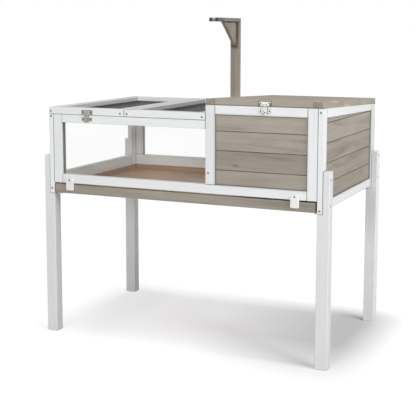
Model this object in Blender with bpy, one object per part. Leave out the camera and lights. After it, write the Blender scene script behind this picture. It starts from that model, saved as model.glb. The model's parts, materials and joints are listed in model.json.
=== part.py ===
"""Tortoise table: a glazed run and a plank hide on four legs, with a pull-out tray.

X runs along the table to the right, Y to the back, Z up, in metres.
The origin is on the floor, under the middle of the whole object's box.
"""
import math

import bmesh
import bpy
from mathutils import Vector

# Clearances
GAP = 0.0003                # between pieces that touch
LID_PLAY = 0.001            # between the two lids, and between a lid and the hide
TRAY_PLAY = 0.003           # behind the tray and its front board
TRAY_PLAY_LEFT = 0.0018     # beside the tray as it rests
TRAY_PLAY_RIGHT = 0.0045
CUT_OVERRUN = 0.004         # how far a cutter runs past what it cuts

# Box
BOX_LENGTH = 1.100          # over the end panels
BOX_DEPTH = 0.680           # front face to back face
END_THICKNESS = 0.020       # end panels
FRAME_THICKNESS = 0.020     # front and back frames
STILE_WIDTH = 0.037
END_STILE_FRONT = 0.038
END_STILE_BACK = 0.056
HIDE_OFFSET = 0.660         # left face of the box to the left face of the hide
LID_SPLIT = 0.328           # left face of the box to the seam between the lids

# Heights, each counted from the one before
SHOULDER_HEIGHT = 0.552     # floor to where the end panels sit on the legs
LEG_CHEEK = 0.148           # how far a leg runs up outside its end panel
END_RAIL_RISE = 0.010       # shoulder to the underside of the end and back rails
HIDE_END_RAIL = 0.031       # depth of the right end's bottom rail
FRONT_RAIL_RISE = 0.044     # shoulder to the underside of the front rail
FRONT_RAIL = 0.033          # depth of the front bottom rail
WINDOW = 0.200              # opening of the panes
RUN_RAIL = 0.031            # depth of the top rails round the panes
ROOF_RISE_FRONT = 0.056     # top of the run's walls to the hide's, at the front
ROOF_RISE_BACK = 0.028      # and at the back

# Timber edges
TIMBER_EDGE = 0.0012
SHARP_ANGLE = math.radians(40)

# Legs
LEG_WIDTH = 0.044
LEG_DEPTH = 0.042
LEG_EDGE = 0.002

# Rails of the hide
HIDE_RAIL_FRONT = 0.0334
HIDE_RAIL_BACK = 0.033
END_TOP_RAIL_FRONT = 0.0326
END_TOP_RAIL_BACK = 0.0250

# Panes and planks
PANE_THICKNESS = 0.003
PANE_LAP = 0.008            # how far a pane reaches behind its frame
PLANK_THICKNESS = 0.010
PLANK_RECESS = 0.006        # from the frame's face to the planks' face
PLANK_PITCH = 0.070
PLANK_GROOVE = 0.0030       # width of the V between two planks
PLANK_GROOVE_DEPTH = 0.0020
FRONT_FIRST_SEAM = 0.0540   # from the bottom of the panel to its lowest seam
END_FIRST_SEAM = 0.0590

# Partition between the run and the hide
PARTITION_THICKNESS = 0.012
PARTITION_PLAY = 0.0135     # between the tray's walls and the partition
DOOR_WIDTH = 0.190
DOOR_HEIGHT = 0.205
DOOR_RADIUS = 0.060
DOOR_FROM_FRONT = 0.120
DOOR_ARC_STEPS = 6

# Middle rail that carries the lids' inner edges
CROSS_RAIL_WIDTH = 0.036
CROSS_RAIL_HEIGHT = 0.028

# Lids
LID_THICKNESS = 0.026
LID_RAIL = 0.037
LID_TENON = 0.008           # how far a side rail's tenon reaches into the front and back rails
MESH_WIRE = 0.0020
MESH_LAP = 0.009            # how far the mesh reaches under its frame
MESH_PITCH = 0.033
MESH_REBATE = 0.008         # depth of the rebate for the mesh under the frame

# Roof of the hide
ROOF_THICKNESS = 0.022
ROOF_SEAMS = 5
ROOF_END_BOARD = 0.038      # width of the board across each end of the planks
ROOF_TONGUE = 0.008         # how far the planks' tongues reach into it
BATTEN_WIDTH = 0.030
BATTEN_HEIGHT = 0.018
BATTEN_INSET = 0.012        # from the walls' inner faces

# Tray
TRAY_FRONT_THICKNESS = 0.018
TRAY_FRONT_HEIGHT = 0.0349
TRAY_FRONT_PLAY = 0.0055    # between the front rail and the board under it
TRAY_RISE = 0.0044          # underside of the board to the underside of the floor
TRAY_FLOOR = 0.005
TRAY_WALL = 0.010
TRAY_DEPTH = 0.0265         # underside of the floor to the top of the walls
RUNNER_WIDTH = 0.016
RUNNER_HEIGHT = 0.012

# Turn-buttons that hold the tray in
BUTTON_WIDTH = 0.031
BUTTON_LENGTH = 0.048
BUTTON_THICKNESS = 0.009
BUTTON_TOP_RADIUS = 0.011
BUTTON_FOOT_RADIUS = 0.003
BUTTON_EDGE = 0.0015
BUTTON_ARC_STEPS = 5
BUTTON_PIVOT_DROP = 0.0085  # from the button's top to its screw
BUTTON_PIVOT_RISE = 0.0122  # from the underside of the front rail to the screw
BUTTON_INSET_LEFT = 0.0929  # from the end of the box to the screw
BUTTON_INSET_RIGHT = 0.0988

# Lamp holder
POST_OFF_CENTRE = 0.00525   # from the middle of the right lid to the middle of the post
POST_WIDTH = 0.041
POST_THICKNESS = 0.017
POST_RISE = 0.013           # underside of the back rail to the foot of the post
LAMP_RISE = 0.3695          # top of the run's walls to the top of the arm
ARM_THICKNESS = 0.015
ARM_REACH = 0.220           # from the back face over the run
ARM_SLOT_WIDTH = 0.013
ARM_SLOT_LENGTH = 0.040
GUSSET_THICKNESS = 0.016
GUSSET_REACH = 0.131
GUSSET_DROP = 0.105

# Hinge and hasp hardware
SHEET = 0.0012              # plate of the hinges and hasps
PIN_RADIUS = 0.0012
PIN_PLAY = 0.0003           # between a pin and the knuckle that turns on it
KNUCKLE_WALL = 0.0013
KNUCKLE_SLIT = 0.0004       # left open where the sheet is rolled up
KNUCKLE_SIDES = 16
KNUCKLE_SPACE = 0.0004      # between neighbouring knuckles

HINGE_WIDTH = 0.044
HINGE_LEAF = 0.017          # from the pin to the edge of a leaf
HINGE_KNUCKLE = 0.018       # length of the middle knuckle
HINGE_CORNER = 0.003
LID_HINGE_INSET = 0.062     # from the edge of the lid to the middle of its hinge
ROOF_HINGE_INSET = 0.090

HASP_WIDTH = 0.046
HASP_FOOT = 0.034           # width of the leaf at its knuckles
HASP_LEAF = 0.0155          # from the pin to the top of the leaf
HASP_KNUCKLE = 0.014
HASP_CORNER = 0.005
STRAP_WIDTH = 0.019
STRAP_LENGTH = 0.0310       # from the pin to the tip
STRAP_SLOT_DROP = 0.0185    # from the pin to the middle of the slot
STRAP_SLOT_WIDTH = 0.0054
STRAP_SLOT_LENGTH = 0.0112
STRAP_TIP_LENGTH = 0.004    # bent-out end to lift it by
STRAP_TIP_OUT = 0.0022
HASP_ARC_STEPS = 5
KNOB_FOOT_RADIUS = 0.0044
KNOB_FOOT_THICKNESS = 0.0013
KNOB_POST_RADIUS = 0.0018
KNOB_WING_LENGTH = 0.0104
KNOB_WING_WIDTH = 0.0042
KNOB_WING_THICKNESS = 0.0018
KNOB_WING_STANDOFF = 0.0006  # between the strap and the wing
KNOB_SIDES = 16
LID_HASP_OFF_CENTRE = 0.006     # from the middle of the lid's front edge
ROOF_HASP_OFF_CENTRE = 0.007

# Places worked out from the sizes above
LEG_TOP_HEIGHT = SHOULDER_HEIGHT + LEG_CHEEK
END_RAIL_BOTTOM = SHOULDER_HEIGHT + END_RAIL_RISE
HIDE_END_SILL = END_RAIL_BOTTOM + HIDE_END_RAIL
FRONT_RAIL_BOTTOM = SHOULDER_HEIGHT + FRONT_RAIL_RISE
SILL_HEIGHT = FRONT_RAIL_BOTTOM + FRONT_RAIL
WINDOW_HEAD = SILL_HEIGHT + WINDOW
RUN_HEIGHT = WINDOW_HEAD + RUN_RAIL
ROOF_FRONT_HEIGHT = RUN_HEIGHT + ROOF_RISE_FRONT
ROOF_BACK_HEIGHT = RUN_HEIGHT + ROOF_RISE_BACK
TRAY_FRONT_TOP = FRONT_RAIL_BOTTOM - TRAY_FRONT_PLAY
TRAY_FRONT_BOTTOM = TRAY_FRONT_TOP - TRAY_FRONT_HEIGHT
TRAY_FLOOR_BOTTOM = TRAY_FRONT_BOTTOM + TRAY_RISE
TRAY_WALL_TOP = TRAY_FLOOR_BOTTOM + TRAY_DEPTH
PARTITION_BOTTOM = TRAY_WALL_TOP + PARTITION_PLAY
BUTTON_PIVOT_HEIGHT = FRONT_RAIL_BOTTOM + BUTTON_PIVOT_RISE
POST_BOTTOM = END_RAIL_BOTTOM + POST_RISE
LAMP_TOP_HEIGHT = RUN_HEIGHT + LAMP_RISE
KNUCKLE_BORE = PIN_RADIUS + PIN_PLAY
KNUCKLE_RADIUS = KNUCKLE_BORE + KNUCKLE_WALL
FRONT_REACH = GAP + BUTTON_THICKNESS
BACK_REACH = GAP + POST_THICKNESS
FRONT = FRONT_REACH - (FRONT_REACH + BOX_DEPTH + BACK_REACH) / 2
BACK = FRONT + BOX_DEPTH
LEFT = -BOX_LENGTH / 2
RIGHT = BOX_LENGTH / 2
INNER_LEFT = LEFT + END_THICKNESS
INNER_RIGHT = RIGHT - END_THICKNESS
INNER_FRONT = FRONT + FRAME_THICKNESS
INNER_BACK = BACK - FRAME_THICKNESS
LEG_REACH = LEG_WIDTH - END_THICKNESS
HIDE_LEFT = LEFT + HIDE_OFFSET
DIVIDER_RIGHT = HIDE_LEFT + STILE_WIDTH
LEFT_STILE_RIGHT = INNER_LEFT + STILE_WIDTH
RIGHT_STILE_LEFT = INNER_RIGHT - STILE_WIDTH
LID_UNDERSIDE = RUN_HEIGHT + GAP
LID_TOP = LID_UNDERSIDE + LID_THICKNESS
LID_RIGHT_LEFT = LEFT + LID_SPLIT + LID_PLAY / 2
LID_RIGHT_RIGHT = HIDE_LEFT - LID_PLAY
POST_CENTRE = (LID_RIGHT_LEFT + LID_RIGHT_RIGHT) / 2 - POST_OFF_CENTRE
ARM_UNDERSIDE = LAMP_TOP_HEIGHT - ARM_THICKNESS


def roof_line(y):
    """Height of the hide's sloping wall tops at the distance y."""
    share = (y - FRONT) / BOX_DEPTH
    return ROOF_FRONT_HEIGHT + (ROOF_BACK_HEIGHT - ROOF_FRONT_HEIGHT) * share


def make_material(name, colour, roughness, metallic=0.0, alpha=1.0):
    material = bpy.data.materials.new(name)
    material.use_nodes = True
    shader = material.node_tree.nodes["Principled BSDF"]
    shader.inputs["Base Color"].default_value = (*colour, 1.0)
    shader.inputs["Roughness"].default_value = roughness
    shader.inputs["Metallic"].default_value = metallic
    shader.inputs["Alpha"].default_value = alpha
    return material


for old in list(bpy.data.objects):
    bpy.data.objects.remove(old, do_unlink=True)

WHITE_PAINT = make_material("white_paint", (0.86, 0.86, 0.85), 0.45)
TAUPE_STAIN = make_material("taupe_stain", (0.37, 0.33, 0.28), 0.62)
TRAY_WOOD = make_material("tray_wood", (0.45, 0.28, 0.14), 0.60)
CLEAR_SHEET = make_material("clear_sheet", (0.93, 0.96, 0.97), 0.05, alpha=0.2)
BLACK_WIRE = make_material("black_wire", (0.02, 0.02, 0.02), 0.45, 0.4)
BRIGHT_STEEL = make_material("bright_steel", (0.70, 0.70, 0.68), 0.28, 1.0)


def make_object(name, bm, material=None, parent=None, edge=0.0):
    """Turn a bmesh in world coordinates into an object, seated on its parent empty.

    edge is the width of the chamfer on the piece's outer corners.
    """
    bmesh.ops.remove_doubles(bm, verts=bm.verts, dist=GAP / 10)
    bmesh.ops.recalc_face_normals(bm, faces=bm.faces)
    if edge:
        sharp = [e for e in bm.edges if e.is_convex and e.calc_face_angle() > SHARP_ANGLE]
        bmesh.ops.bevel(bm, geom=sharp, offset=edge, segments=1, affect="EDGES", clamp_overlap=True)
    if parent is not None:
        bmesh.ops.translate(bm, verts=bm.verts, vec=-parent.location)
    mesh = bpy.data.meshes.new(name)
    bm.to_mesh(mesh)
    bm.free()
    item = bpy.data.objects.new(name, mesh)
    bpy.context.scene.collection.objects.link(item)
    if material is not None:
        mesh.materials.append(material)
    if parent is not None:
        item.parent = parent
    return item


def make_axis(name, location):
    """An empty on a joint's axis, which carries the pieces that move about it."""
    axis = bpy.data.objects.new(name, None)
    axis.location = location
    axis.empty_display_size = STILE_WIDTH
    bpy.context.scene.collection.objects.link(axis)
    return axis


def extruded(profile, along, low, high):
    """A prism: the profile lies across the axis named along, from low to high."""
    spot = {
        "X": lambda a, b: Vector((low, a, b)),
        "Y": lambda a, b: Vector((a, low, b)),
        "Z": lambda a, b: Vector((a, b, low)),
    }[along]
    step = {"X": Vector((1, 0, 0)), "Y": Vector((0, 1, 0)), "Z": Vector((0, 0, 1))}[along]
    bm = bmesh.new()
    face = bm.faces.new([bm.verts.new(spot(a, b)) for a, b in profile])
    grown = bmesh.ops.extrude_face_region(bm, geom=[face])["geom"]
    moved = [v for v in grown if isinstance(v, bmesh.types.BMVert)]
    bmesh.ops.translate(bm, verts=moved, vec=step * (high - low))
    return bm


def rectangle(a0, a1, b0, b1):
    return [(a0, b0), (a1, b0), (a1, b1), (a0, b1)]


def arc(centre_a, centre_b, radius, start, end, steps):
    """Points of an arc, both ends included, angles in degrees."""
    points = []
    for step in range(steps + 1):
        angle = math.radians(start + (end - start) * step / steps)
        points.append((centre_a + radius * math.cos(angle), centre_b + radius * math.sin(angle)))
    return points


def combine(item, other, operation):
    """Join a hidden helper to a piece, or cut it away."""
    other.hide_render = True
    other.display_type = "WIRE"
    modifier = item.modifiers.new(operation.lower(), "BOOLEAN")
    modifier.operation = operation
    modifier.solver = "EXACT"
    modifier.object = other


def timber(name, x_range, y_range, z_range, material=WHITE_PAINT, parent=None, edge=TIMBER_EDGE):
    """A straight square-sawn member with eased edges."""
    bm = extruded(rectangle(*x_range, *y_range), "Z", *z_range)
    return make_object(name, bm, material, parent, edge)


def sloped_timber(name, x_range, y_range, bottom, material=WHITE_PAINT, edge=TIMBER_EDGE):
    """A member whose top follows the roof; bottom gives its underside at front and back."""
    y0, y1 = y_range
    profile = [(y0, bottom[0]), (y1, bottom[1]), (y1, roof_line(y1)), (y0, roof_line(y0))]
    return make_object(name, extruded(profile, "X", *x_range), material, None, edge)


def pane(name, x_range, y_range, z_range):
    bm = extruded(rectangle(*x_range, *y_range), "Z", *z_range)
    return make_object(name, bm, CLEAR_SHEET)


def grooved_profile(outer, inner, bottom, top, first_seam):
    """Section of a board of planks: V grooves on the outer face at every seam."""
    inward = math.copysign(PLANK_GROOVE_DEPTH, inner - outer)
    points = [(outer, bottom)]
    seam = bottom + first_seam
    while seam < top - PLANK_GROOVE:
        points += [
            (outer, seam - PLANK_GROOVE / 2),
            (outer + inward, seam),
            (outer, seam + PLANK_GROOVE / 2),
        ]
        seam += PLANK_PITCH
    return points + [(outer, top), (inner, top), (inner, bottom)]


def make_legs():
    for side, face, outward in (("left", LEFT, -1), ("right", RIGHT, 1)):
        outer = face + outward * LEG_REACH
        cheek = face + outward * GAP
        inner = face - outward * END_THICKNESS
        profile = [
            (outer, 0),
            (inner, 0),
            (inner, SHOULDER_HEIGHT),
            (cheek, SHOULDER_HEIGHT),
            (cheek, LEG_TOP_HEIGHT),
            (outer, LEG_TOP_HEIGHT),
        ]
        for row, y0 in (("front", FRONT), ("back", BACK - LEG_DEPTH)):
            bm = extruded(profile, "Y", y0, y0 + LEG_DEPTH)
            make_object(f"leg_{row}_{side}", bm, WHITE_PAINT, None, LEG_EDGE)


def make_left_end():
    x_range = (LEFT, INNER_LEFT)
    stile_front = FRONT + END_STILE_FRONT
    stile_back = BACK - END_STILE_BACK
    z_range = (SHOULDER_HEIGHT + GAP, RUN_HEIGHT)
    timber("left_end_stile_front", x_range, (FRONT, stile_front), z_range)
    timber("left_end_stile_back", x_range, (stile_back, BACK), z_range)
    rail_span = (stile_front + GAP, stile_back - GAP)
    timber("left_end_rail_top", x_range, rail_span, (WINDOW_HEAD, RUN_HEIGHT))
    timber("left_end_rail_bottom", x_range, rail_span, (END_RAIL_BOTTOM, SILL_HEIGHT))
    pane(
        "left_end_pane",
        (INNER_LEFT + GAP, INNER_LEFT + GAP + PANE_THICKNESS),
        (stile_front - PANE_LAP, stile_back + PANE_LAP),
        (SILL_HEIGHT - PANE_LAP, WINDOW_HEAD + PANE_LAP),
    )


def make_right_end():
    x_range = (INNER_RIGHT, RIGHT)
    stile_front = FRONT + END_STILE_FRONT
    stile_back = BACK - END_STILE_BACK
    bottom = SHOULDER_HEIGHT + GAP
    sloped_timber("right_end_stile_front", x_range, (FRONT, stile_front), (bottom, bottom))
    sloped_timber("right_end_stile_back", x_range, (stile_back, BACK), (bottom, bottom))
    y0, y1 = stile_front + GAP, stile_back - GAP
    under = (roof_line(y0) - END_TOP_RAIL_FRONT, roof_line(y1) - END_TOP_RAIL_BACK)
    sloped_timber("right_end_rail_top", x_range, (y0, y1), under)
    timber("right_end_rail_bottom", x_range, (y0, y1), (END_RAIL_BOTTOM, HIDE_END_SILL))
    outer = RIGHT - PLANK_RECESS
    profile = grooved_profile(
        outer, outer - PLANK_THICKNESS, HIDE_END_SILL + GAP, under[0], END_FIRST_SEAM
    )
    bm = extruded(profile, "Y", y0, y1)
    slope = Vector((0, y1 - y0, under[1] - under[0]))
    cut = bmesh.ops.bisect_plane(
        bm,
        geom=bm.verts[:] + bm.edges[:] + bm.faces[:],
        plane_co=Vector((0, y0, under[0] - GAP)),
        plane_no=Vector((1, 0, 0)).cross(slope).normalized(),
        clear_outer=True,
    )["geom_cut"]
    bmesh.ops.holes_fill(bm, edges=[e for e in cut if isinstance(e, bmesh.types.BMEdge)])
    make_object("right_end_planks", bm, TAUPE_STAIN)


def make_front():
    y_range = (FRONT, INNER_FRONT)
    clear_left, clear_right = INNER_LEFT + GAP, INNER_RIGHT - GAP
    foot, sill = FRONT_RAIL_BOTTOM, SILL_HEIGHT + GAP
    timber("front_stile_left", (clear_left, LEFT_STILE_RIGHT), y_range, (foot, RUN_HEIGHT))
    sloped_timber("front_stile_divider", (HIDE_LEFT, DIVIDER_RIGHT), y_range, (sill, sill))
    sloped_timber("front_stile_right", (RIGHT_STILE_LEFT, clear_right), y_range, (foot, foot))
    rail_span = (LEFT_STILE_RIGHT + GAP, RIGHT_STILE_LEFT - GAP)
    timber("front_rail_bottom", rail_span, y_range, (foot, SILL_HEIGHT))
    run_span = (LEFT_STILE_RIGHT + GAP, HIDE_LEFT - GAP)
    timber("front_rail_run_top", run_span, y_range, (WINDOW_HEAD, RUN_HEIGHT))
    hide_span = (DIVIDER_RIGHT + GAP, RIGHT_STILE_LEFT - GAP)
    under = ROOF_FRONT_HEIGHT - HIDE_RAIL_FRONT
    sloped_timber("front_rail_hide_top", hide_span, y_range, (under, under))
    pane(
        "front_pane",
        (LEFT_STILE_RIGHT - PANE_LAP, HIDE_LEFT - GAP + PANE_LAP),
        (INNER_FRONT + GAP, INNER_FRONT + GAP + PANE_THICKNESS),
        (SILL_HEIGHT - PANE_LAP, WINDOW_HEAD + PANE_LAP),
    )
    outer = FRONT + PLANK_RECESS
    profile = grooved_profile(outer, outer + PLANK_THICKNESS, sill, under - GAP, FRONT_FIRST_SEAM)
    make_object("front_planks", extruded(profile, "X", *hide_span), TAUPE_STAIN)


def make_back():
    y_range = (INNER_BACK, BACK)
    clear_left, clear_right = INNER_LEFT + GAP, INNER_RIGHT - GAP
    timber("back_rail_bottom", (clear_left, clear_right), y_range, (END_RAIL_BOTTOM, SILL_HEIGHT))
    sill = SILL_HEIGHT + GAP
    timber("back_stile_left", (clear_left, LEFT_STILE_RIGHT), y_range, (sill, RUN_HEIGHT))
    sloped_timber("back_stile_middle", (HIDE_LEFT, DIVIDER_RIGHT), y_range, (sill, sill))
    sloped_timber("back_stile_right", (RIGHT_STILE_LEFT, clear_right), y_range, (sill, sill))
    run_span = (LEFT_STILE_RIGHT + GAP, HIDE_LEFT - GAP)
    timber("back_rail_run_top", run_span, y_range, (WINDOW_HEAD, RUN_HEIGHT))
    hide_span = (DIVIDER_RIGHT + GAP, RIGHT_STILE_LEFT - GAP)
    under = ROOF_BACK_HEIGHT - HIDE_RAIL_BACK
    sloped_timber("back_rail_hide_top", hide_span, y_range, (under, under))
    pane(
        "back_pane",
        (LEFT_STILE_RIGHT - PANE_LAP, HIDE_LEFT - GAP + PANE_LAP),
        (INNER_BACK - GAP - PANE_THICKNESS, INNER_BACK - GAP),
        (SILL_HEIGHT - PANE_LAP, WINDOW_HEAD + PANE_LAP),
    )
    outer = BACK - PLANK_RECESS
    profile = grooved_profile(outer, outer - PLANK_THICKNESS, sill, under - GAP, FRONT_FIRST_SEAM)
    make_object("back_planks", extruded(profile, "X", *hide_span), TAUPE_STAIN)


def make_inside():
    """Partition with its arched doorway, and the rail under the seam of the lids."""
    y0 = INNER_FRONT + GAP + PANE_THICKNESS + GAP
    y1 = INNER_BACK - GAP - PANE_THICKNESS - GAP
    door_front = INNER_FRONT + DOOR_FROM_FRONT
    door_back = door_front + DOOR_WIDTH
    spring = PARTITION_BOTTOM + DOOR_HEIGHT - DOOR_RADIUS
    doorway = [(door_back, PARTITION_BOTTOM)]
    doorway += arc(door_back - DOOR_RADIUS, spring, DOOR_RADIUS, 0, 90, DOOR_ARC_STEPS)
    doorway += arc(door_front + DOOR_RADIUS, spring, DOOR_RADIUS, 90, 180, DOOR_ARC_STEPS)
    doorway += [(door_front, PARTITION_BOTTOM)]
    profile = [
        (y0, PARTITION_BOTTOM),
        (y0, roof_line(y0) - GAP),
        (y1, roof_line(y1) - GAP),
        (y1, PARTITION_BOTTOM),
    ]
    bm = extruded(profile + doorway, "X", HIDE_LEFT, HIDE_LEFT + PARTITION_THICKNESS)
    make_object("partition", bm, TAUPE_STAIN)
    seam = LEFT + LID_SPLIT
    timber(
        "cross_rail",
        (seam - CROSS_RAIL_WIDTH / 2, seam + CROSS_RAIL_WIDTH / 2),
        (y0, y1),
        (RUN_HEIGHT - CROSS_RAIL_HEIGHT, RUN_HEIGHT),
    )


def make_mesh_panel(name, x_range, y_range, bottom, parent=None):
    """Welded wire mesh: square gaps between wires, in one sheet."""

    def wire_edges(low, high):
        gaps = max(1, round((high - low) / MESH_PITCH))
        step = (high - low - MESH_WIRE) / gaps
        edges = []
        for k in range(gaps + 1):
            edges += [low + k * step, low + k * step + MESH_WIRE]
        return edges

    xs, ys = wire_edges(*x_range), wire_edges(*y_range)
    bm = bmesh.new()
    grid = [[bm.verts.new((x, y, bottom)) for y in ys] for x in xs]
    for i in range(len(xs) - 1):
        for j in range(len(ys) - 1):
            if i % 2 == 0 or j % 2 == 0:
                bm.faces.new((grid[i][j], grid[i + 1][j], grid[i + 1][j + 1], grid[i][j + 1]))
    bmesh.ops.delete(bm, geom=[v for v in bm.verts if not v.link_faces], context="VERTS")
    grown = bmesh.ops.extrude_face_region(bm, geom=bm.faces[:])["geom"]
    moved = [v for v in grown if isinstance(v, bmesh.types.BMVert)]
    bmesh.ops.translate(bm, verts=moved, vec=Vector((0, 0, MESH_WIRE)))
    make_object(name, bm, BLACK_WIRE, parent)


def make_lid(name, x_range, parent=None):
    """A white frame with a rebate under its inner edge, and the mesh in the rebate.

    The front and back rails run right across; the side rails are tenoned between them.
    """
    x0, x1 = x_range
    inner_x = (x0 + LID_RAIL, x1 - LID_RAIL)
    inner_y = (FRONT + LID_RAIL, BACK - LID_RAIL)
    mesh_x = (inner_x[0] - MESH_LAP, inner_x[1] + MESH_LAP)
    mesh_y = (inner_y[0] - MESH_LAP, inner_y[1] + MESH_LAP)
    bm = extruded(rectangle(x0, x1, FRONT, inner_y[0]), "Z", LID_UNDERSIDE, LID_TOP)
    frame = make_object(f"{name}_frame", bm, WHITE_PAINT, parent, TIMBER_EDGE)
    bm = extruded(rectangle(x0, x1, inner_y[1], BACK), "Z", LID_UNDERSIDE, LID_TOP)
    combine(frame, make_object(f"{name}_back_rail", bm, edge=TIMBER_EDGE), "UNION")
    tenon_z = (LID_UNDERSIDE + LID_THICKNESS / 3, LID_TOP - LID_THICKNESS / 3)
    for side, low, high in (("left", x0, inner_x[0]), ("right", inner_x[1], x1)):
        rail = rectangle(low, high, inner_y[0] + GAP, inner_y[1] - GAP)
        bm = extruded(rail, "Z", LID_UNDERSIDE, LID_TOP)
        combine(frame, make_object(f"{name}_{side}_rail", bm, edge=TIMBER_EDGE), "UNION")
        tenon = rectangle(low + LID_TENON, high - LID_TENON, inner_y[0] - LID_TENON, inner_y[1] + LID_TENON)
        combine(frame, make_object(f"{name}_{side}_tenon", extruded(tenon, "Z", *tenon_z)), "UNION")
    rebate_top = LID_UNDERSIDE + MESH_REBATE
    rebate = extruded(
        rectangle(mesh_x[0] - GAP, mesh_x[1] + GAP, mesh_y[0] - GAP, mesh_y[1] + GAP),
        "Z",
        LID_UNDERSIDE - CUT_OVERRUN,
        rebate_top,
    )
    combine(frame, make_object(f"{name}_rebate_cutter", rebate), "DIFFERENCE")
    make_mesh_panel(f"{name}_mesh", mesh_x, mesh_y, rebate_top - GAP - MESH_WIRE, parent)


def roof_section(seams):
    """Outline across the roof, with a V groove on top at each seam between planks."""
    profile = [(FRONT, roof_line(FRONT) + GAP), (FRONT, roof_line(FRONT) + GAP + ROOF_THICKNESS)]
    for k in range(1, seams + 1):
        y = FRONT + k * BOX_DEPTH / (seams + 1)
        top = roof_line(y) + GAP + ROOF_THICKNESS
        profile += [
            (y - PLANK_GROOVE / 2, top),
            (y, top - PLANK_GROOVE_DEPTH),
            (y + PLANK_GROOVE / 2, top),
        ]
    return profile + [(BACK, roof_line(BACK) + GAP + ROOF_THICKNESS), (BACK, roof_line(BACK) + GAP)]


def roof_bar(y_range, low, high):
    """Outline of a bar that follows the slope, low and high above the walls' tops."""
    y0, y1 = y_range
    return [
        (y0, roof_line(y0) + low),
        (y1, roof_line(y1) + low),
        (y1, roof_line(y1) + high),
        (y0, roof_line(y0) + high),
    ]


def make_roof(parent):
    """Planks tongued into a board at each end, with two battens screwed on underneath."""
    x0, x1 = HIDE_LEFT + GAP, RIGHT
    joints = (x0 + ROOF_END_BOARD, x1 - ROOF_END_BOARD)
    bm = extruded(roof_section(ROOF_SEAMS), "X", joints[0] + GAP, joints[1] - GAP)
    deck = make_object("roof_deck", bm, TAUPE_STAIN, parent, TIMBER_EDGE)
    tongue = roof_bar((FRONT + ROOF_TONGUE, BACK - ROOF_TONGUE), ROOF_THICKNESS / 3, ROOF_THICKNESS * 2 / 3)
    for side, joint, low, high in (("left", joints[0], x0, joints[0]), ("right", joints[1], joints[1], x1)):
        board = make_object(
            f"roof_end_board_{side}", extruded(roof_section(0), "X", low, high), edge=TIMBER_EDGE
        )
        combine(deck, board, "UNION")
        bm = extruded(tongue, "X", joint - ROOF_TONGUE, joint + ROOF_TONGUE)
        combine(deck, make_object(f"roof_tongue_{side}", bm), "UNION")
    y_range = (INNER_FRONT + BATTEN_INSET, INNER_BACK - BATTEN_INSET)
    batten_left = DIVIDER_RIGHT + BATTEN_INSET
    batten_right = INNER_RIGHT - BATTEN_INSET - BATTEN_WIDTH
    section = roof_bar(y_range, -BATTEN_HEIGHT, ROOF_THICKNESS / 2)
    for side, x in (("left", batten_left), ("right", batten_right)):
        batten = make_object(f"roof_batten_{side}", extruded(section, "X", x, x + BATTEN_WIDTH))
        combine(deck, batten, "UNION")


def make_tray(parent):
    """Stained front board and the shallow box behind it, on two runners."""
    x0, x1 = INNER_LEFT + TRAY_PLAY_LEFT, INNER_RIGHT - TRAY_PLAY_RIGHT
    board_back = FRONT + TRAY_FRONT_THICKNESS
    timber(
        "tray_front", (x0, x1), (FRONT, board_back), (TRAY_FRONT_BOTTOM, TRAY_FRONT_TOP),
        TAUPE_STAIN, parent,
    )
    y0, y1 = board_back + GAP, INNER_BACK - TRAY_PLAY
    bm = extruded(rectangle(x0, x1, y0, y1), "Z", TRAY_FLOOR_BOTTOM, TRAY_WALL_TOP)
    top = max(bm.faces, key=lambda face: face.calc_center_median().z)
    bmesh.ops.inset_region(bm, faces=[top], thickness=TRAY_WALL)
    sunk = bmesh.ops.extrude_face_region(bm, geom=[top])["geom"]
    bmesh.ops.delete(bm, geom=[top], context="FACES_ONLY")
    moved = [v for v in sunk if isinstance(v, bmesh.types.BMVert)]
    drop = TRAY_WALL_TOP - TRAY_FLOOR_BOTTOM - TRAY_FLOOR
    bmesh.ops.translate(bm, verts=moved, vec=Vector((0, 0, -drop)))
    make_object("tray_box", bm, TRAY_WOOD, parent)


def make_runners():
    top = TRAY_FLOOR_BOTTOM - GAP
    y_range = (FRONT + TRAY_FRONT_THICKNESS + TRAY_PLAY, BACK)
    left = INNER_LEFT + GAP
    right = INNER_RIGHT - GAP
    for side, x_range in (("left", (left, left + RUNNER_WIDTH)), ("right", (right - RUNNER_WIDTH, right))):
        timber(f"tray_runner_{side}", x_range, y_range, (top - RUNNER_HEIGHT, top))


def make_turn_button(side, parent):
    """A hand-cut block that turns on one screw and drops in front of the tray."""
    x, top = parent.location.x, parent.location.z + BUTTON_PIVOT_DROP
    half = BUTTON_WIDTH / 2
    foot = top - BUTTON_LENGTH
    profile = arc(
        x + half - BUTTON_TOP_RADIUS, top - BUTTON_TOP_RADIUS, BUTTON_TOP_RADIUS, 0, 90, BUTTON_ARC_STEPS
    )
    profile += arc(
        x - half + BUTTON_TOP_RADIUS, top - BUTTON_TOP_RADIUS, BUTTON_TOP_RADIUS, 90, 180, BUTTON_ARC_STEPS
    )
    for centre, start in ((x - half + BUTTON_FOOT_RADIUS, 180), (x + half - BUTTON_FOOT_RADIUS, 270)):
        profile += arc(
            centre, foot + BUTTON_FOOT_RADIUS, BUTTON_FOOT_RADIUS, start, start + 90, BUTTON_ARC_STEPS
        )
    bm = extruded(profile, "Y", FRONT - GAP - BUTTON_THICKNESS, FRONT - GAP)
    make_object(f"turn_button_{side}", bm, WHITE_PAINT, parent, BUTTON_EDGE)


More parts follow.
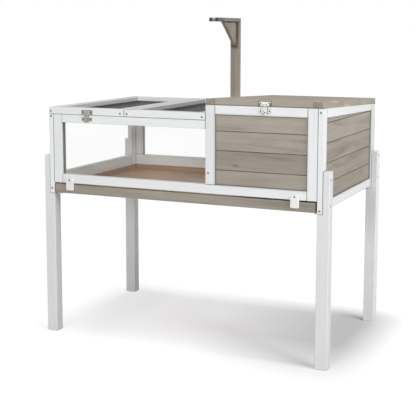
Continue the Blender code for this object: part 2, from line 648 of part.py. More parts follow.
def make_lamp_holder():
    """Post screwed to the back, a forked arm over the run, and the gusset between."""
    x_range = (POST_CENTRE - POST_WIDTH / 2, POST_CENTRE + POST_WIDTH / 2)
    post_front, post_back = BACK + GAP, BACK + GAP + POST_THICKNESS
    timber(
        "lamp_post", x_range, (post_front, post_back), (POST_BOTTOM, ARM_UNDERSIDE - GAP), TAUPE_STAIN
    )
    tip = BACK - ARM_REACH
    slot = ARM_SLOT_WIDTH / 2
    slot_end = tip + ARM_SLOT_LENGTH - slot
    profile = [(POST_CENTRE - slot, tip)]
    profile += arc(POST_CENTRE, slot_end, slot, 180, 0, BUTTON_ARC_STEPS)
    profile += [
        (POST_CENTRE + slot, tip),
        (x_range[1], tip),
        (x_range[1], post_back),
        (x_range[0], post_back),
        (x_range[0], tip),
    ]
    bm = extruded(profile, "Z", ARM_UNDERSIDE, LAMP_TOP_HEIGHT)
    make_object("lamp_arm", bm, TAUPE_STAIN, None, TIMBER_EDGE)
    corner_y, corner_z = post_front - GAP, ARM_UNDERSIDE - GAP
    triangle = [
        (corner_y, corner_z),
        (corner_y - GUSSET_REACH, corner_z),
        (corner_y, corner_z - GUSSET_DROP),
    ]
    half = GUSSET_THICKNESS / 2
    bm = extruded(triangle, "X", POST_CENTRE - half, POST_CENTRE + half)
    make_object("lamp_gusset", bm, TAUPE_STAIN, None, TIMBER_EDGE)


def corner_arcs(half, edge, start, sign, radius):
    """The two rounded corners at the far edge of a leaf that reaches up (1) or down (-1)."""
    centre = edge - sign * radius
    points = arc(start + half - radius, centre, radius, 0, 90 * sign, HASP_ARC_STEPS)
    return points + arc(start - half + radius, centre, radius, 90 * sign, 180 * sign, HASP_ARC_STEPS)


def pinned_leaf(name, axis, sign, width, foot, reach, knuckle, corner, outward, material, parent):
    """A leaf with solid end knuckles and the pin between them.

    axis is the pin's middle, sign the way the leaf reaches, outward the way its face looks.
    """
    x, y, z = axis
    plate_back = y - outward * KNUCKLE_RADIUS
    plate_front = plate_back + outward * SHEET
    notch = knuckle / 2 + KNUCKLE_SPACE
    clear = KNUCKLE_RADIUS + GAP
    shoulder = z + sign * clear
    profile = corner_arcs(width / 2, z + sign * reach, x, sign, corner)
    profile += [
        (x - foot / 2, shoulder),
        (x - foot / 2, z),
        (x - notch, z),
        (x - notch, shoulder),
        (x + notch, shoulder),
        (x + notch, z),
        (x + foot / 2, z),
        (x + foot / 2, shoulder),
    ]
    low, high = sorted((plate_back, plate_front))
    leaf = make_object(name, extruded(profile, "Y", low, high), material, parent)
    turn = arc(y, z, KNUCKLE_RADIUS, 0, 360 - 360 / KNUCKLE_SIDES, KNUCKLE_SIDES - 1)
    for side, x0, x1 in (("a", x - foot / 2, x - notch), ("b", x + notch, x + foot / 2)):
        combine(leaf, make_object(f"{name}_knuckle_{side}", extruded(turn, "X", x0, x1)), "UNION")
    bar = arc(y, z, PIN_RADIUS, 0, 360 - 360 / KNUCKLE_SIDES, KNUCKLE_SIDES - 1)
    middle = (foot / 2 + notch) / 2
    combine(leaf, make_object(f"{name}_pin", extruded(bar, "X", x - middle, x + middle)), "UNION")
    return leaf


def rolled_knuckle(name, axis, length, slit_at):
    """A sheet rolled round the pin, with the slit where the roll closes."""
    x, y, z = axis
    opening = math.degrees(KNUCKLE_SLIT / KNUCKLE_RADIUS) / 2
    start, end = slit_at + opening, slit_at + 360 - opening
    profile = arc(y, z, KNUCKLE_RADIUS, start, end, KNUCKLE_SIDES)
    profile += arc(y, z, KNUCKLE_BORE, end, start, KNUCKLE_SIDES)
    return make_object(name, extruded(profile, "X", x - length / 2, x + length / 2))


def make_hinge(name, x, z, outer, parent):
    """A butt hinge on the back: pinned leaf below on the rail, rolled leaf above on the lid."""
    y = outer + GAP + KNUCKLE_RADIUS
    axis = (x, y, z)
    pinned_leaf(
        f"{name}_fixed_leaf", axis, -1, HINGE_WIDTH, HINGE_WIDTH, HINGE_LEAF, HINGE_KNUCKLE,
        HINGE_CORNER, 1, BRIGHT_STEEL, None,
    )
    half = HINGE_KNUCKLE / 2
    shoulder = z + KNUCKLE_RADIUS + GAP
    profile = corner_arcs(HINGE_WIDTH / 2, z + HINGE_LEAF, x, 1, HINGE_CORNER)
    profile += [
        (x - HINGE_WIDTH / 2, shoulder),
        (x - half, shoulder),
        (x - half, z),
        (x + half, z),
        (x + half, shoulder),
        (x + HINGE_WIDTH / 2, shoulder),
    ]
    bm = extruded(profile, "Y", outer + GAP, outer + GAP + SHEET)
    leaf = make_object(f"{name}_moving_leaf", bm, BRIGHT_STEEL, parent)
    combine(leaf, rolled_knuckle(f"{name}_roll", axis, HINGE_KNUCKLE, 200), "UNION")


def make_hasp(name, x, seam, lid_axis):
    """A hasp: pinned leaf on the lid's edge, slotted strap, and a turning knob on the rail."""
    y = FRONT - GAP - KNUCKLE_RADIUS
    z = seam + KNUCKLE_RADIUS
    pinned_leaf(
        f"{name}_hasp_leaf", (x, y, z), 1, HASP_WIDTH, HASP_FOOT, HASP_LEAF, HASP_KNUCKLE,
        HASP_CORNER, -1, BRIGHT_STEEL, lid_axis,
    )
    strap_axis = make_axis(f"{name}_strap_axis", (x, y, z))
    half = STRAP_WIDTH / 2
    neck = HASP_KNUCKLE / 2
    shoulder = z - KNUCKLE_RADIUS - GAP
    bend = z - STRAP_LENGTH + STRAP_TIP_LENGTH
    outline = [(x + neck, z - KNUCKLE_BORE - KNUCKLE_WALL / 2), (x + neck, shoulder), (x + half, shoulder)]
    outline += [(x + half, bend), (x - half, bend), (x - half, shoulder), (x - neck, shoulder)]
    outline += [(x - neck, z - KNUCKLE_BORE - KNUCKLE_WALL / 2)]
    bm = extruded(outline, "Y", y - SHEET / 2, y + SHEET / 2)
    strap = make_object(f"{name}_hasp_strap", bm, BRIGHT_STEEL, strap_axis)
    tip_end = z - STRAP_LENGTH
    tip_profile = [
        (y + SHEET / 2, bend + SHEET / 2),
        (y - SHEET / 2, bend + SHEET / 2),
        (y - SHEET / 2, bend),
        (y - SHEET / 2 - STRAP_TIP_OUT, tip_end),
        (y + SHEET / 2 - STRAP_TIP_OUT, tip_end),
        (y + SHEET / 2, bend),
    ]
    tip = make_object(f"{name}_strap_tip", extruded(tip_profile, "X", x - half, x + half))
    combine(strap, tip, "UNION")
    combine(strap, rolled_knuckle(f"{name}_strap_roll", (x, y, z), HASP_KNUCKLE, 60), "UNION")
    slot_z = z - STRAP_SLOT_DROP
    round_end = STRAP_SLOT_WIDTH / 2
    straight = STRAP_SLOT_LENGTH / 2 - round_end
    slot = arc(x, slot_z + straight, round_end, 0, 180, HASP_ARC_STEPS)
    slot += arc(x, slot_z - straight, round_end, 180, 360, HASP_ARC_STEPS)
    cutter = extruded(slot, "Y", y - CUT_OVERRUN, y + CUT_OVERRUN / 2)
    combine(strap, make_object(f"{name}_slot_cutter", cutter), "DIFFERENCE")
    make_knob(name, x, slot_z, y)


def make_knob(name, x, z, strap_y):
    """Foot, post and wing; the wing lies across the slot and holds the strap."""
    axis = make_axis(f"{name}_knob_axis", (x, FRONT, z))
    foot_back = FRONT - GAP
    foot_front = foot_back - KNOB_FOOT_THICKNESS
    wing_back = strap_y - SHEET / 2 - KNOB_WING_STANDOFF
    wing_front = wing_back - KNOB_WING_THICKNESS
    last = 360 - 360 / KNOB_SIDES
    disc = arc(x, z, KNOB_FOOT_RADIUS, 0, last, KNOB_SIDES - 1)
    knob = make_object(
        f"{name}_hasp_knob", extruded(disc, "Y", foot_front, foot_back), BRIGHT_STEEL, axis
    )
    shaft = arc(x, z, KNOB_POST_RADIUS, 0, last, KNOB_SIDES - 1)
    inside_foot = (foot_front + foot_back) / 2
    inside_wing = (wing_front + wing_back) / 2
    post = make_object(f"{name}_knob_post", extruded(shaft, "Y", inside_wing, inside_foot))
    combine(knob, post, "UNION")
    round_end = KNOB_WING_WIDTH / 2
    straight = KNOB_WING_LENGTH / 2 - round_end
    wing = arc(x + straight, z, round_end, -90, 90, HASP_ARC_STEPS)
    wing += arc(x - straight, z, round_end, 90, 270, HASP_ARC_STEPS)
    combine(knob, make_object(f"{name}_knob_wing", extruded(wing, "Y", wing_front, wing_back)), "UNION")


make_legs()
make_left_end()
make_right_end()
make_front()
make_back()
make_inside()
make_lamp_holder()
make_runners()

lid_left_right = LEFT + LID_SPLIT - LID_PLAY / 2
lid_axis = make_axis("lid_axis", (LEFT, BACK + GAP + KNUCKLE_RADIUS, RUN_HEIGHT))
make_lid("lid_left", (LEFT, lid_left_right), lid_axis)
make_lid("lid_right", (LID_RIGHT_LEFT, LID_RIGHT_RIGHT))
for place, x in (("left", LEFT + LID_HINGE_INSET), ("right", LEFT + LID_SPLIT - LID_HINGE_INSET)):
    make_hinge(f"lid_hinge_{place}", x, RUN_HEIGHT, BACK, lid_axis)

roof_axis = make_axis("roof_axis", (HIDE_LEFT, BACK + GAP + KNUCKLE_RADIUS, ROOF_BACK_HEIGHT))
make_roof(roof_axis)
for place, x in (("left", HIDE_LEFT + ROOF_HINGE_INSET), ("right", RIGHT - ROOF_HINGE_INSET)):
    make_hinge(f"roof_hinge_{place}", x, ROOF_BACK_HEIGHT, BACK, roof_axis)

make_tray(make_axis("tray_axis", (0, FRONT, TRAY_FLOOR_BOTTOM)))
for place, x in (("left", LEFT + BUTTON_INSET_LEFT), ("right", RIGHT - BUTTON_INSET_RIGHT)):
    make_turn_button(place, make_axis(f"button_axis_{place}", (x, FRONT, BUTTON_PIVOT_HEIGHT)))

make_hasp("lid", LEFT + LID_SPLIT / 2 + LID_HASP_OFF_CENTRE, RUN_HEIGHT, lid_axis)
make_hasp("roof", (HIDE_LEFT + RIGHT) / 2 + ROOF_HASP_OFF_CENTRE, ROOF_FRONT_HEIGHT, roof_axis)
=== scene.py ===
# The looks of the tortoise table: finishes, wire mesh, screws and hasp plates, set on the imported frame.
import json
import math

import bmesh
import bpy
from mathutils import Matrix, Vector


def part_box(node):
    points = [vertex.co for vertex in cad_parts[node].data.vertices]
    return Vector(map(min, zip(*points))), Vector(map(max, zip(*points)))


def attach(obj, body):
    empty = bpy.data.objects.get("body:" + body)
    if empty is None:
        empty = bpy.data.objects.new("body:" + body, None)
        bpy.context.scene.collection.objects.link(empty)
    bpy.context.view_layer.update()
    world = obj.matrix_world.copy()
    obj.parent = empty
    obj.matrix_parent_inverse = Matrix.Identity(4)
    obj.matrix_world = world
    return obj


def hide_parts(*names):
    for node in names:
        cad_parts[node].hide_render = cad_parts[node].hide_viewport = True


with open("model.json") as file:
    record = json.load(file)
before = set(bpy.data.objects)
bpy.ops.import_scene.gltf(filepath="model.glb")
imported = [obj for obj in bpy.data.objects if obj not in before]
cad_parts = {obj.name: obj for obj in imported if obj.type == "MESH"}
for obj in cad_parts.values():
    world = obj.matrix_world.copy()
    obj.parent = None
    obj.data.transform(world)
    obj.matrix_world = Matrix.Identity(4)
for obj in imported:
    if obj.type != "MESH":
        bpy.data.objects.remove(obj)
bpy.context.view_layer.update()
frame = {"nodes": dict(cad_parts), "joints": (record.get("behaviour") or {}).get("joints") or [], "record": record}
nodes = frame["nodes"]
joints = {joint["name"]: joint for joint in frame["joints"]}
bodyOf = {node: body for body, members in frame["record"]["behaviour"]["bodies"].items() for node in members}
print("frame loaded:", len(nodes), "nodes")


# Small helpers for shaders

def addNode(near, kind, **settings):
    # a new node in the same tree as a node or socket
    node = near.id_data.nodes.new(kind)
    for key, value in settings.items():
        setattr(node, key, value)
    return node


def newMaterial(name):
    # the material, its shader and the place on the object
    material = bpy.data.materials.new(name)
    material.use_nodes = True
    shader = material.node_tree.nodes["Principled BSDF"]
    return material, shader, addNode(shader, "ShaderNodeTexCoord").outputs["Object"]


def feed(sockets, values):
    # an output is linked; a number, vector or colour is set
    for socket, value in zip(sockets, values):
        if isinstance(value, bpy.types.NodeSocket):
            socket.id_data.links.new(value, socket)
        elif isinstance(value, tuple) and len(value) < len(socket.default_value):
            socket.default_value = (*value, 1.0)
        else:
            socket.default_value = value


def fill(node, values):
    feed([node.inputs[name] for name in values], values.values())


def fedNode(kind, values, sockets=None, **settings):
    # a new node beside the outputs it takes; its first sockets or the named ones get the values
    near = next(value for value in values if isinstance(value, bpy.types.NodeSocket))
    node = addNode(near, kind, **settings)
    feed([node.inputs[name] for name in sockets] if sockets else node.inputs, values)
    return node


def mathNode(operation, *values, clamp=False):
    return fedNode("ShaderNodeMath", values, operation=operation, use_clamp=clamp).outputs[0]


def vectorMath(operation, *values):
    node = fedNode("ShaderNodeVectorMath", values, operation=operation)
    return node.outputs["Value" if operation == "LENGTH" else "Vector"]


def mixColour(factor, first, second, blend="MIX"):
    values = (factor, first, second)
    return fedNode("ShaderNodeMix", values, (0, 6, 7), data_type="RGBA", blend_type=blend).outputs[2]


def mixValue(factor, first, second):
    return fedNode("ShaderNodeMix", (factor, first, second), (0, 2, 3), data_type="FLOAT").outputs[0]


def spread(*values):
    # a map range: value, then low, high of the input and what they become
    return fedNode("ShaderNodeMapRange", values).outputs["Result"]


def varied(pattern, least, most):
    # the usual reach of a noise becomes least..most
    return spread(pattern, 0.3, 0.7, least, most)


def outsideSpan(value, low, high):
    # 1 below low and above high
    below = mathNode("LESS_THAN", value, low)
    return mathNode("ADD", below, mathNode("GREATER_THAN", value, high), clamp=True)


def separated(vector):
    return fedNode("ShaderNodeSeparateXYZ", (vector,)).outputs


def objectNormal(near):
    return separated(addNode(near, "ShaderNodeTexCoord").outputs["Normal"])


def noise(vector, scale, detail=3.0, roughness=0.5, distortion=0.0):
    values = (vector, scale, detail, roughness, distortion)
    sockets = ("Vector", "Scale", "Detail", "Roughness", "Distortion")
    return fedNode("ShaderNodeTexNoise", values, sockets).outputs["Fac"]


def stretched(vector, axis, along, across, shift=(0.0, 0.0, 0.0)):
    # squeezes a pattern so that its streaks run along one axis
    scale = tuple(along if letter == axis else across for letter in "XYZ")
    sockets = ("Vector", "Scale", "Location")
    return fedNode("ShaderNodeMapping", (vector, scale, shift), sockets).outputs["Vector"]


def bump(shader, height, strength, distance):
    node = fedNode("ShaderNodeBump", (height, strength, distance), ("Height", "Strength", "Distance"))
    fill(shader, {"Normal": node.outputs["Normal"]})


def toned(colour, tone):
    return tuple(tone * part for part in colour)


def camel(name):
    first, *others = name.split("_")
    return first + "".join(word.title() for word in others)


# White paint, brushed along each member, grey along its edges from wear and painted shade; painted shade where
# members meet, on some sides and on the lids' tops

paint = {
    "colour": (0.815, 0.815, 0.812),
    "shade": (0.730, 0.730, 0.732),
    # grey along each member's edges: wear, and painted shade at the joints
    "edge": (0.300, 0.297, 0.290),
    "edgeWidths": (0.0003, 0.0014),  # metres, at its full share and at none
    "edgeShare": 0.35,
    "edgeWear": (0.3, 0.6, 0.7, 1.0),  # where the blotches are strong
    # the painted shade where members meet: its colour, widths and share
    "seam": (0.120, 0.119, 0.115),
    "seamWidth": 0.0018,
    "faintSeam": 0.0010,
    "wireSeam": 0.0050,  # painted shade where the mesh goes into the lid frames
    "revealWidth": 0.0085,  # painted shade beside the planks, over the whole reveal
    "seamShare": 0.74,
    # painted shade: how dark the lid frames' tops are painted
    "lidTops": {"lid_left_frame": 0.82, "lid_right_frame": 0.74},
    "streaks": (5.0, 170.0),  # per metre along and across the grain
    "streakShare": (0.42, 0.75, 0.0, 0.55),  # how much of the shade they bring
    "blotches": (3.0, 9.0),
    "blotchShare": (0.45, 0.80, 0.0, 0.35),
    "shift": (0.37, 0.61, 0.23),  # moves the pattern on from one member to the next
    "toneSpread": 0.030,
    # painted light and shade: some members toned lighter or darker for how the light falls on them
    "tones": {
        "leg_front_left": 0.93, "leg_front_right": 0.88, "leg_back_left": 1.09, "leg_back_right": 1.01,
        "right_end_stile_back": 0.91, "left_end_stile_front": 1.06, "front_stile_divider": 0.94,
    },
    # painted shade on one side of some members: the way that side looks and how dark it is painted
    "greySides": {
        "leg_front_left": ("X", 1, 0.84), "leg_back_left": ("Y", -1, 0.91), "leg_back_right": ("Y", -1, 0.92),
        "lid_left_frame": ("X", 1, 0.64), "lid_right_frame": ("X", 1, 0.49),
    },
    "facing": (0.7, 0.9),  # how squarely a face looks that way, from not at all to fully
    "roughness": (0.38, 0.52),
    "relief": (0.22, 0.0006),  # strength and depth
}

# Where members meet: what counts as a joint, and how the painted shade in it falls off

joinery = {
    "lidRail": 0.037,  # width of the bars of a lid frame
    "roofStrip": 0.02,  # of the roof, on the front and back walls
    "widestGap": 0.0013,
    "deepestLap": 0.0025,
    "shortest": 0.003,
    "halfDepth": 0.0001,  # of the sheets of painted shadow at the tray front's ends
    "darkUpTo": 0.15,  # of the width
}


def edgeDistance(split, low, high):
    # distance to the nearest edge of the box: the second smallest distance to its faces
    away = []
    for letter, least, most in zip("XYZ", low, high):
        fromLow = mathNode("SUBTRACT", split[letter], least)
        fromHigh = mathNode("SUBTRACT", most, split[letter])
        away.append(mathNode("MINIMUM", fromLow, fromHigh))
    lesser = mathNode("MINIMUM", *away[:2])
    greater = mathNode("MAXIMUM", *away[:2])
    return mathNode("MAXIMUM", lesser, mathNode("MINIMUM", greater, away[2]))


def fromMiddle(place, middle):
    return vectorMath("ABSOLUTE", vectorMath("SUBTRACT", place, middle))


def outsideBox(place, middle, half):
    # how far a point is outside a box, 0 within it
    beyond = vectorMath("SUBTRACT", fromMiddle(place, middle), half)
    return vectorMath("LENGTH", vectorMath("MAXIMUM", beyond, (0.0, 0.0, 0.0)))


def insideDepth(place, middle, half, axes):
    # how far a point lies within a box along two of its axes
    left = separated(vectorMath("SUBTRACT", half, fromMiddle(place, middle)))
    return mathNode("MINIMUM", left[axes[0]], left[axes[1]])


def membersOf(name):
    # the straight bars a node is made of, as boxes
    low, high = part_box(name)
    rail, strip = joinery["lidRail"], joinery["roofStrip"]
    if name.startswith("leg_"):
        # the cheek beside the end panel, and the leg up to its shoulder
        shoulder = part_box("left_end_stile_front")[0].z
        cheekLow, cheekHigh = Vector((*low.xy, shoulder)), high.copy()
        if low.x > 0:
            cheekLow.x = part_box("right_end_stile_front")[1].x
        else:
            cheekHigh.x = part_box("left_end_stile_front")[0].x
        return [(cheekLow, cheekHigh), (low, (*high.xy, shoulder))]
    if name.startswith("lid_") and name.endswith("_frame"):
        railEnd, railStart = low.y + rail, high.y - rail
        sides = [((x, railEnd, low.z), (x + rail, railStart, high.z)) for x in (low.x, high.x - rail)]
        return [(low, (high.x, railEnd, high.z)), ((low.x, railStart, low.z), high), *sides]
    if name == "roof_deck":
        # only the strips that lie on the front and back walls
        frontWall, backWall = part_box("front_rail_hide_top")[1].z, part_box("back_rail_hide_top")[1].z
        return [((*low.xy, frontWall), (high.x, low.y + strip, high.z)),
                ((low.x, high.y - strip, backWall), (*high.xy, frontWall))]
    return [(low, high)]


def contacts(name, own=None, wide=None):
    # thin boxes that get painted shade, where this node's bars meet each other and other nodes' bars:
    # (middle, half size, width, the two axes it lies along if it opens)
    own = own or paint["seamWidth"]
    slabs = []
    bars = membersOf(name)
    others = [(bar, own, False) for bar in bars if name.endswith("_frame")]
    for other in nodes:
        small = other.endswith(("_pane", "_strap", "_knob")) or "_hinge_" in other or "button" in other
        if small or other == name:
            continue
        width = stain["besides"].get(name, {}).get(other, own)
        if wide and other.endswith("_planks"):
            width = wide
        elif "front_stile_left" in (name, other) and name.startswith("front_") and other.startswith("front_"):
            width = paint["faintSeam"]
        elif other.endswith("_mesh"):
            width = paint["wireSeam"]
        others += [(bar, width, bodyOf[name] != bodyOf[other]) for bar in membersOf(other)]
    for bar in bars:
        for other, width, opens in others:
            if other is bar:
                continue
            low = [max(a, b) for a, b in zip(bar[0], other[0])]
            high = [min(a, b) for a, b in zip(bar[1], other[1])]
            spans = [b - a for a, b in zip(low, high)]
            thin = -joinery["widestGap"] <= min(spans) <= joinery["deepestLap"]
            if not thin or sorted(spans)[1] < joinery["shortest"]:
                continue
            middle = tuple((a + b) / 2 for a, b in zip(low, high))
            flat = [letter for letter, span in zip("XYZ", spans) if span > min(spans)]
            slabs.append((middle, tuple(abs(span) / 2 for span in spans), width, flat if opens else None))
    if name == "tray_front":
        # its ends lie in the shadow of the gaps beside them
        (low, high), = bars
        half = (joinery["halfDepth"], (high.y - low.y) / 2, (high.z - low.z) / 2)
        slabs += [((x, *((low + high) / 2).yz), half, stain["trayEnd"], None) for x in (low.x, high.x)]
    return slabs


def seamShadeMask(place, slabs, share):
    # painted shade: 1 on the slabs, falling to 0 at each one's own width from it
    nearest = 1.0
    for middle, half, width, flat in slabs:
        reach = mathNode("MULTIPLY", outsideBox(place, middle, half), 1.0 / width)
        if flat:
            # where lids and rails part, only the border of the joint gets painted shade
            depth = mathNode("MULTIPLY", insideDepth(place, middle, half, flat), 1.0 / width)
            reach = mathNode("MAXIMUM", reach, depth)
        nearest = mathNode("MINIMUM", nearest, reach)
    return spread(nearest, joinery["darkUpTo"], 1.0, share, 0.0)


def whitePaint(name, index):
    low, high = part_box(name)
    grain = "XYZ"[max(range(3), key=lambda k: high[k] - low[k])]
    material, shader, place = newMaterial(camel(name) + "Paint")
    split = separated(place)
    shift = toned(paint["shift"], index)
    streaks = noise(stretched(place, grain, *paint["streaks"], shift), 1.0, 5.0, 0.6)
    if name in paint["lidTops"]:
        # the grain of a frame's front and back rails runs along X
        rail = joinery["lidRail"]
        crosswise = noise(stretched(place, "X", *paint["streaks"], shift), 1.0, 5.0, 0.6)
        onRails = outsideSpan(split["Y"], low.y + rail, high.y - rail)
        streaks = mixValue(onRails, streaks, crosswise)
    blotches = noise(stretched(place, grain, *paint["blotches"], shift), 1.0)
    streakShare = spread(streaks, *paint["streakShare"])
    share = mathNode("ADD", streakShare, spread(blotches, *paint["blotchShare"]), clamp=True)
    tone = 1.0 - paint["toneSpread"] * (index * 0.618 % 1.0)
    # painted light and shade: the member's own lighter or darker tone
    tone *= paint["tones"].get(name, 1.0)
    colour = mixColour(share, toned(paint["colour"], tone), toned(paint["shade"], tone))
    # grey near the edges of the member's box: wear, and painted shade at the joints
    distance = edgeDistance(split, low, high)
    nearEdge = spread(distance, *paint["edgeWidths"], paint["edgeShare"], 0.0)
    worn = mathNode("MULTIPLY", nearEdge, spread(blotches, *paint["edgeWear"]))
    colour = mixColour(worn, colour, paint["edge"])
    # painted shade: the lid frames' upward faces are darker, as they catch less light
    if name in paint["lidTops"]:
        upward = spread(objectNormal(place)["Z"], *paint["facing"], 0.0, 1.0)
        colour = mixColour(upward, colour, toned((1.0, 1.0, 1.0), paint["lidTops"][name]), "MULTIPLY")
    # painted shade on the side of the member that lies in shade
    if name in paint["greySides"]:
        axis, way, grey = paint["greySides"][name]
        facing = mathNode("MULTIPLY", objectNormal(place)[axis], way)
        colour = mixColour(1.0, colour, spread(facing, *paint["facing"], 1.0, grey), "MULTIPLY")
    # painted shade where this member meets others, round the wire mesh and over the reveals beside the planks
    slabs = contacts(name, wide=paint["revealWidth"])
    if slabs:
        colour = mixColour(seamShadeMask(place, slabs, paint["seamShare"]), colour, paint["seam"])
    roughness = varied(streaks, *paint["roughness"])
    fill(shader, {"Base Color": colour, "Roughness": roughness, "Specular IOR Level": 0.0})
    bump(shader, streaks, *paint["relief"])
    return material


# Taupe stain: planks with their own tone and figure, dark on end grain, dark in the grooves from stain and painted
# shade, and painted shade where they meet other parts

stain = {
    "light": (0.455, 0.407, 0.348),
    "middle": (0.392, 0.349, 0.294),
    "dark": (0.295, 0.257, 0.210),
    "stops": {"dark": 0.28, "middle": 0.48, "light": 0.70},  # of the figure
    "endGrain": (0.225, 0.190, 0.150),
    "endFacing": (0.75, 0.9),
    # dark in the grooves from stain and painted shade; also the colour of the painted shade at the borders and of
    # the lamp arm's darker tip
    "groove": (0.100, 0.084, 0.066),
    "figure": (2.2, 26.0),  # per metre along and across the grain
    "fibres": (9.0, 420.0),
    "fibreShare": (0.50, 0.78, 0.0, 0.45),
    "plankShift": (1.37, 2.11, 0.83),  # moves the figure on from one plank to the next
    "grooveFoot": 0.0004,
    "grooveHalf": 0.0021,
    "grooveShare": 0.78,
    # painted shade on these members where they meet frames and other parts
    "borderWidth": 0.0038,
    "borderShare": 0.70,
    # wider painted shadow on the lamp post beside the gusset, narrower on the arm over it
    "besides": {"lamp_post": {"lamp_gusset": 0.0130}, "lamp_arm": {"lamp_gusset": 0.0022}},
    "trayEnd": 0.0030,
    "wornPatch": (0.560, 0.495, 0.425),
    "wornShare": (0.56, 0.68, 0.0, 0.75),
    "knots": (5.0, 11.0),
    "knotShare": 0.6,
    "roughness": (0.78, 0.62),
    "relief": (0.30, 0.0010),
}

# painted light inside the fork's slot; the arm darker towards its tip
fork = {"slotHalf": 0.0067, "slotDepth": 0.0410, "rawWood": (0.78, 0.74, 0.66),
        "smokeFrom": 0.012, "smokeTo": 0.075, "smokeShare": 0.75}


def woodFigure(place, grain, offset):
    # broad figure and fine fibres of one board, both 0 to 1
    moved = vectorMath("ADD", place, offset)
    wide, fine = [stretched(moved, grain, *stain[part]) for part in ("figure", "fibres")]
    return noise(wide, 1.0, 5.0, 0.62, 0.9), noise(fine, 1.0, 4.0, 0.6)


def stainedWood(name, grain, seams=None, tones=(1.0,), ends=None, endAxis=None, members=()):
    # seams: (axis, first seam, pitch); tones: one for each plank from the first seam down or up
    # ends: (low, high, axis) beyond which the grain turns to endAxis
    # members: the nodes that wear it, with painted shade where they meet others
    material, shader, place = newMaterial(name)
    split = separated(place)
    offset = noOffset = (0.0, 0.0, 0.0)
    if seams:
        seamAxis, firstSeam, pitch = seams
        along = mathNode("DIVIDE", mathNode("SUBTRACT", split[seamAxis], firstSeam), pitch)
        plank = mathNode("ADD", mathNode("FLOOR", along), 1.0)
        moves = addNode(place, "ShaderNodeCombineXYZ")
        feed(moves.inputs, [mathNode("MULTIPLY", plank, step) for step in stain["plankShift"]])
        offset = moves.outputs[0]
    figure, fibres = woodFigure(place, grain, offset)
    endMask = None
    if ends:
        endMask = outsideSpan(split[ends[2]], *ends[:2])
        endFigure, endFibres = woodFigure(place, endAxis, noOffset)
        figure = mixValue(endMask, figure, endFigure)
        fibres = mixValue(endMask, fibres, endFibres)
    ramp = addNode(place, "ShaderNodeValToRGB")
    points = ramp.color_ramp.elements
    points.new(stain["stops"]["middle"])
    for point, (key, position) in zip(points, stain["stops"].items()):
        point.position = position
        point.color = (*stain[key], 1.0)
    feed(ramp.inputs, [figure])
    colour = mixColour(spread(fibres, *stain["fibreShare"]), ramp.outputs["Color"], stain["dark"])
    colour = addKnots(place, grain, colour)
    if ends:
        # the boards at the ends are paler in patches
        patchNoise = noise(stretched(place, endAxis, 9.0, 34.0), 1.0, 4.0, 0.6)
        patches = mathNode("MULTIPLY", endMask, spread(patchNoise, *stain["wornShare"]))
        colour = mixColour(patches, colour, stain["wornPatch"])
    colour = addEndGrain(place, grain, endAxis, endMask, colour)
    tone = tones[0]
    if seams:
        # the grooves between planks: dark stain and painted shade
        nearest = mathNode("MAXIMUM", mathNode("ROUND", along), 0.0)
        nearest = mathNode("MINIMUM", nearest, len(tones) - 2.0)
        away = mathNode("ABSOLUTE", mathNode("SUBTRACT", along, nearest))
        reach = mathNode("MULTIPLY", away, pitch)
        groove = spread(reach, stain["grooveFoot"], stain["grooveHalf"], stain["grooveShare"], 0.0)
        if ends:
            groove = mathNode("MULTIPLY", groove, mathNode("SUBTRACT", 1.0, endMask))
        colour = mixColour(groove, colour, stain["groove"])
        tone = plankTone(plank, tones)
    if "lamp_arm" in members:
        colour = addForkTones(place, colour)
    # painted shade where the members meet other parts
    slabs = [slab for member in members for slab in contacts(member, stain["borderWidth"])]
    if slabs:
        colour = mixColour(seamShadeMask(place, slabs, stain["borderShare"]), colour, stain["groove"])
    scaled = fedNode("ShaderNodeVectorMath", (colour, tone), (0, "Scale"), operation="SCALE")
    fill(shader, {"Base Color": scaled.outputs["Vector"], "Specular IOR Level": 0.0,
                        "Roughness": varied(fibres, *stain["roughness"])})
    heights = [mathNode("MULTIPLY", part, share) for part, share in ((figure, 0.6), (fibres, 0.4))]
    bump(shader, mathNode("ADD", *heights), *stain["relief"])
    return material


def plankTone(plank, tones):
    # a stepped ramp holds half of each plank's tone
    ramp = addNode(plank, "ShaderNodeValToRGB")
    ramp.color_ramp.interpolation = "CONSTANT"
    steps = ramp.color_ramp.elements
    while len(steps) < len(tones):
        steps.new(0.5)
    for index, (step, tone) in enumerate(zip(steps, tones)):
        step.position = index / len(tones)
        step.color = (tone / 2, tone / 2, tone / 2, 1.0)
    feed(ramp.inputs, [mathNode("DIVIDE", mathNode("ADD", plank, 0.5), len(tones))])
    return mathNode("MULTIPLY", ramp.outputs["Color"], 2.0)


def addForkTones(place, colour):
    # the lamp arm: painted light inside the fork's slot, and darker towards its tip
    low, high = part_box("lamp_arm")
    fromTip = (low.y + fork["smokeFrom"], low.y + fork["smokeTo"])
    nearTip = spread(separated(place)["Y"], *fromTip, fork["smokeShare"], 0.0)
    colour = mixColour(nearTip, colour, stain["groove"])
    slotBox = ((low.x + high.x) / 2, low.y, (low.z + high.z) / 2), (fork["slotHalf"], fork["slotDepth"], 1.0)
    inside = mathNode("LESS_THAN", outsideBox(place, *slotBox), 0.0003)
    return mixColour(inside, colour, fork["rawWood"])


def addKnots(place, grain, colour):
    # a few small knots, longer along the grain
    spots = stretched(place, grain, *stain["knots"], (0.31, 0.17, 0.43))
    cells = fedNode("ShaderNodeTexVoronoi", (spots, 1.0), ("Vector", "Scale"))
    spot = spread(cells.outputs["Distance"], 0.035, 0.085, 1.0, 0.0)
    return mixColour(mathNode("MULTIPLY", spot, stain["knotShare"]), colour, stain["endGrain"])


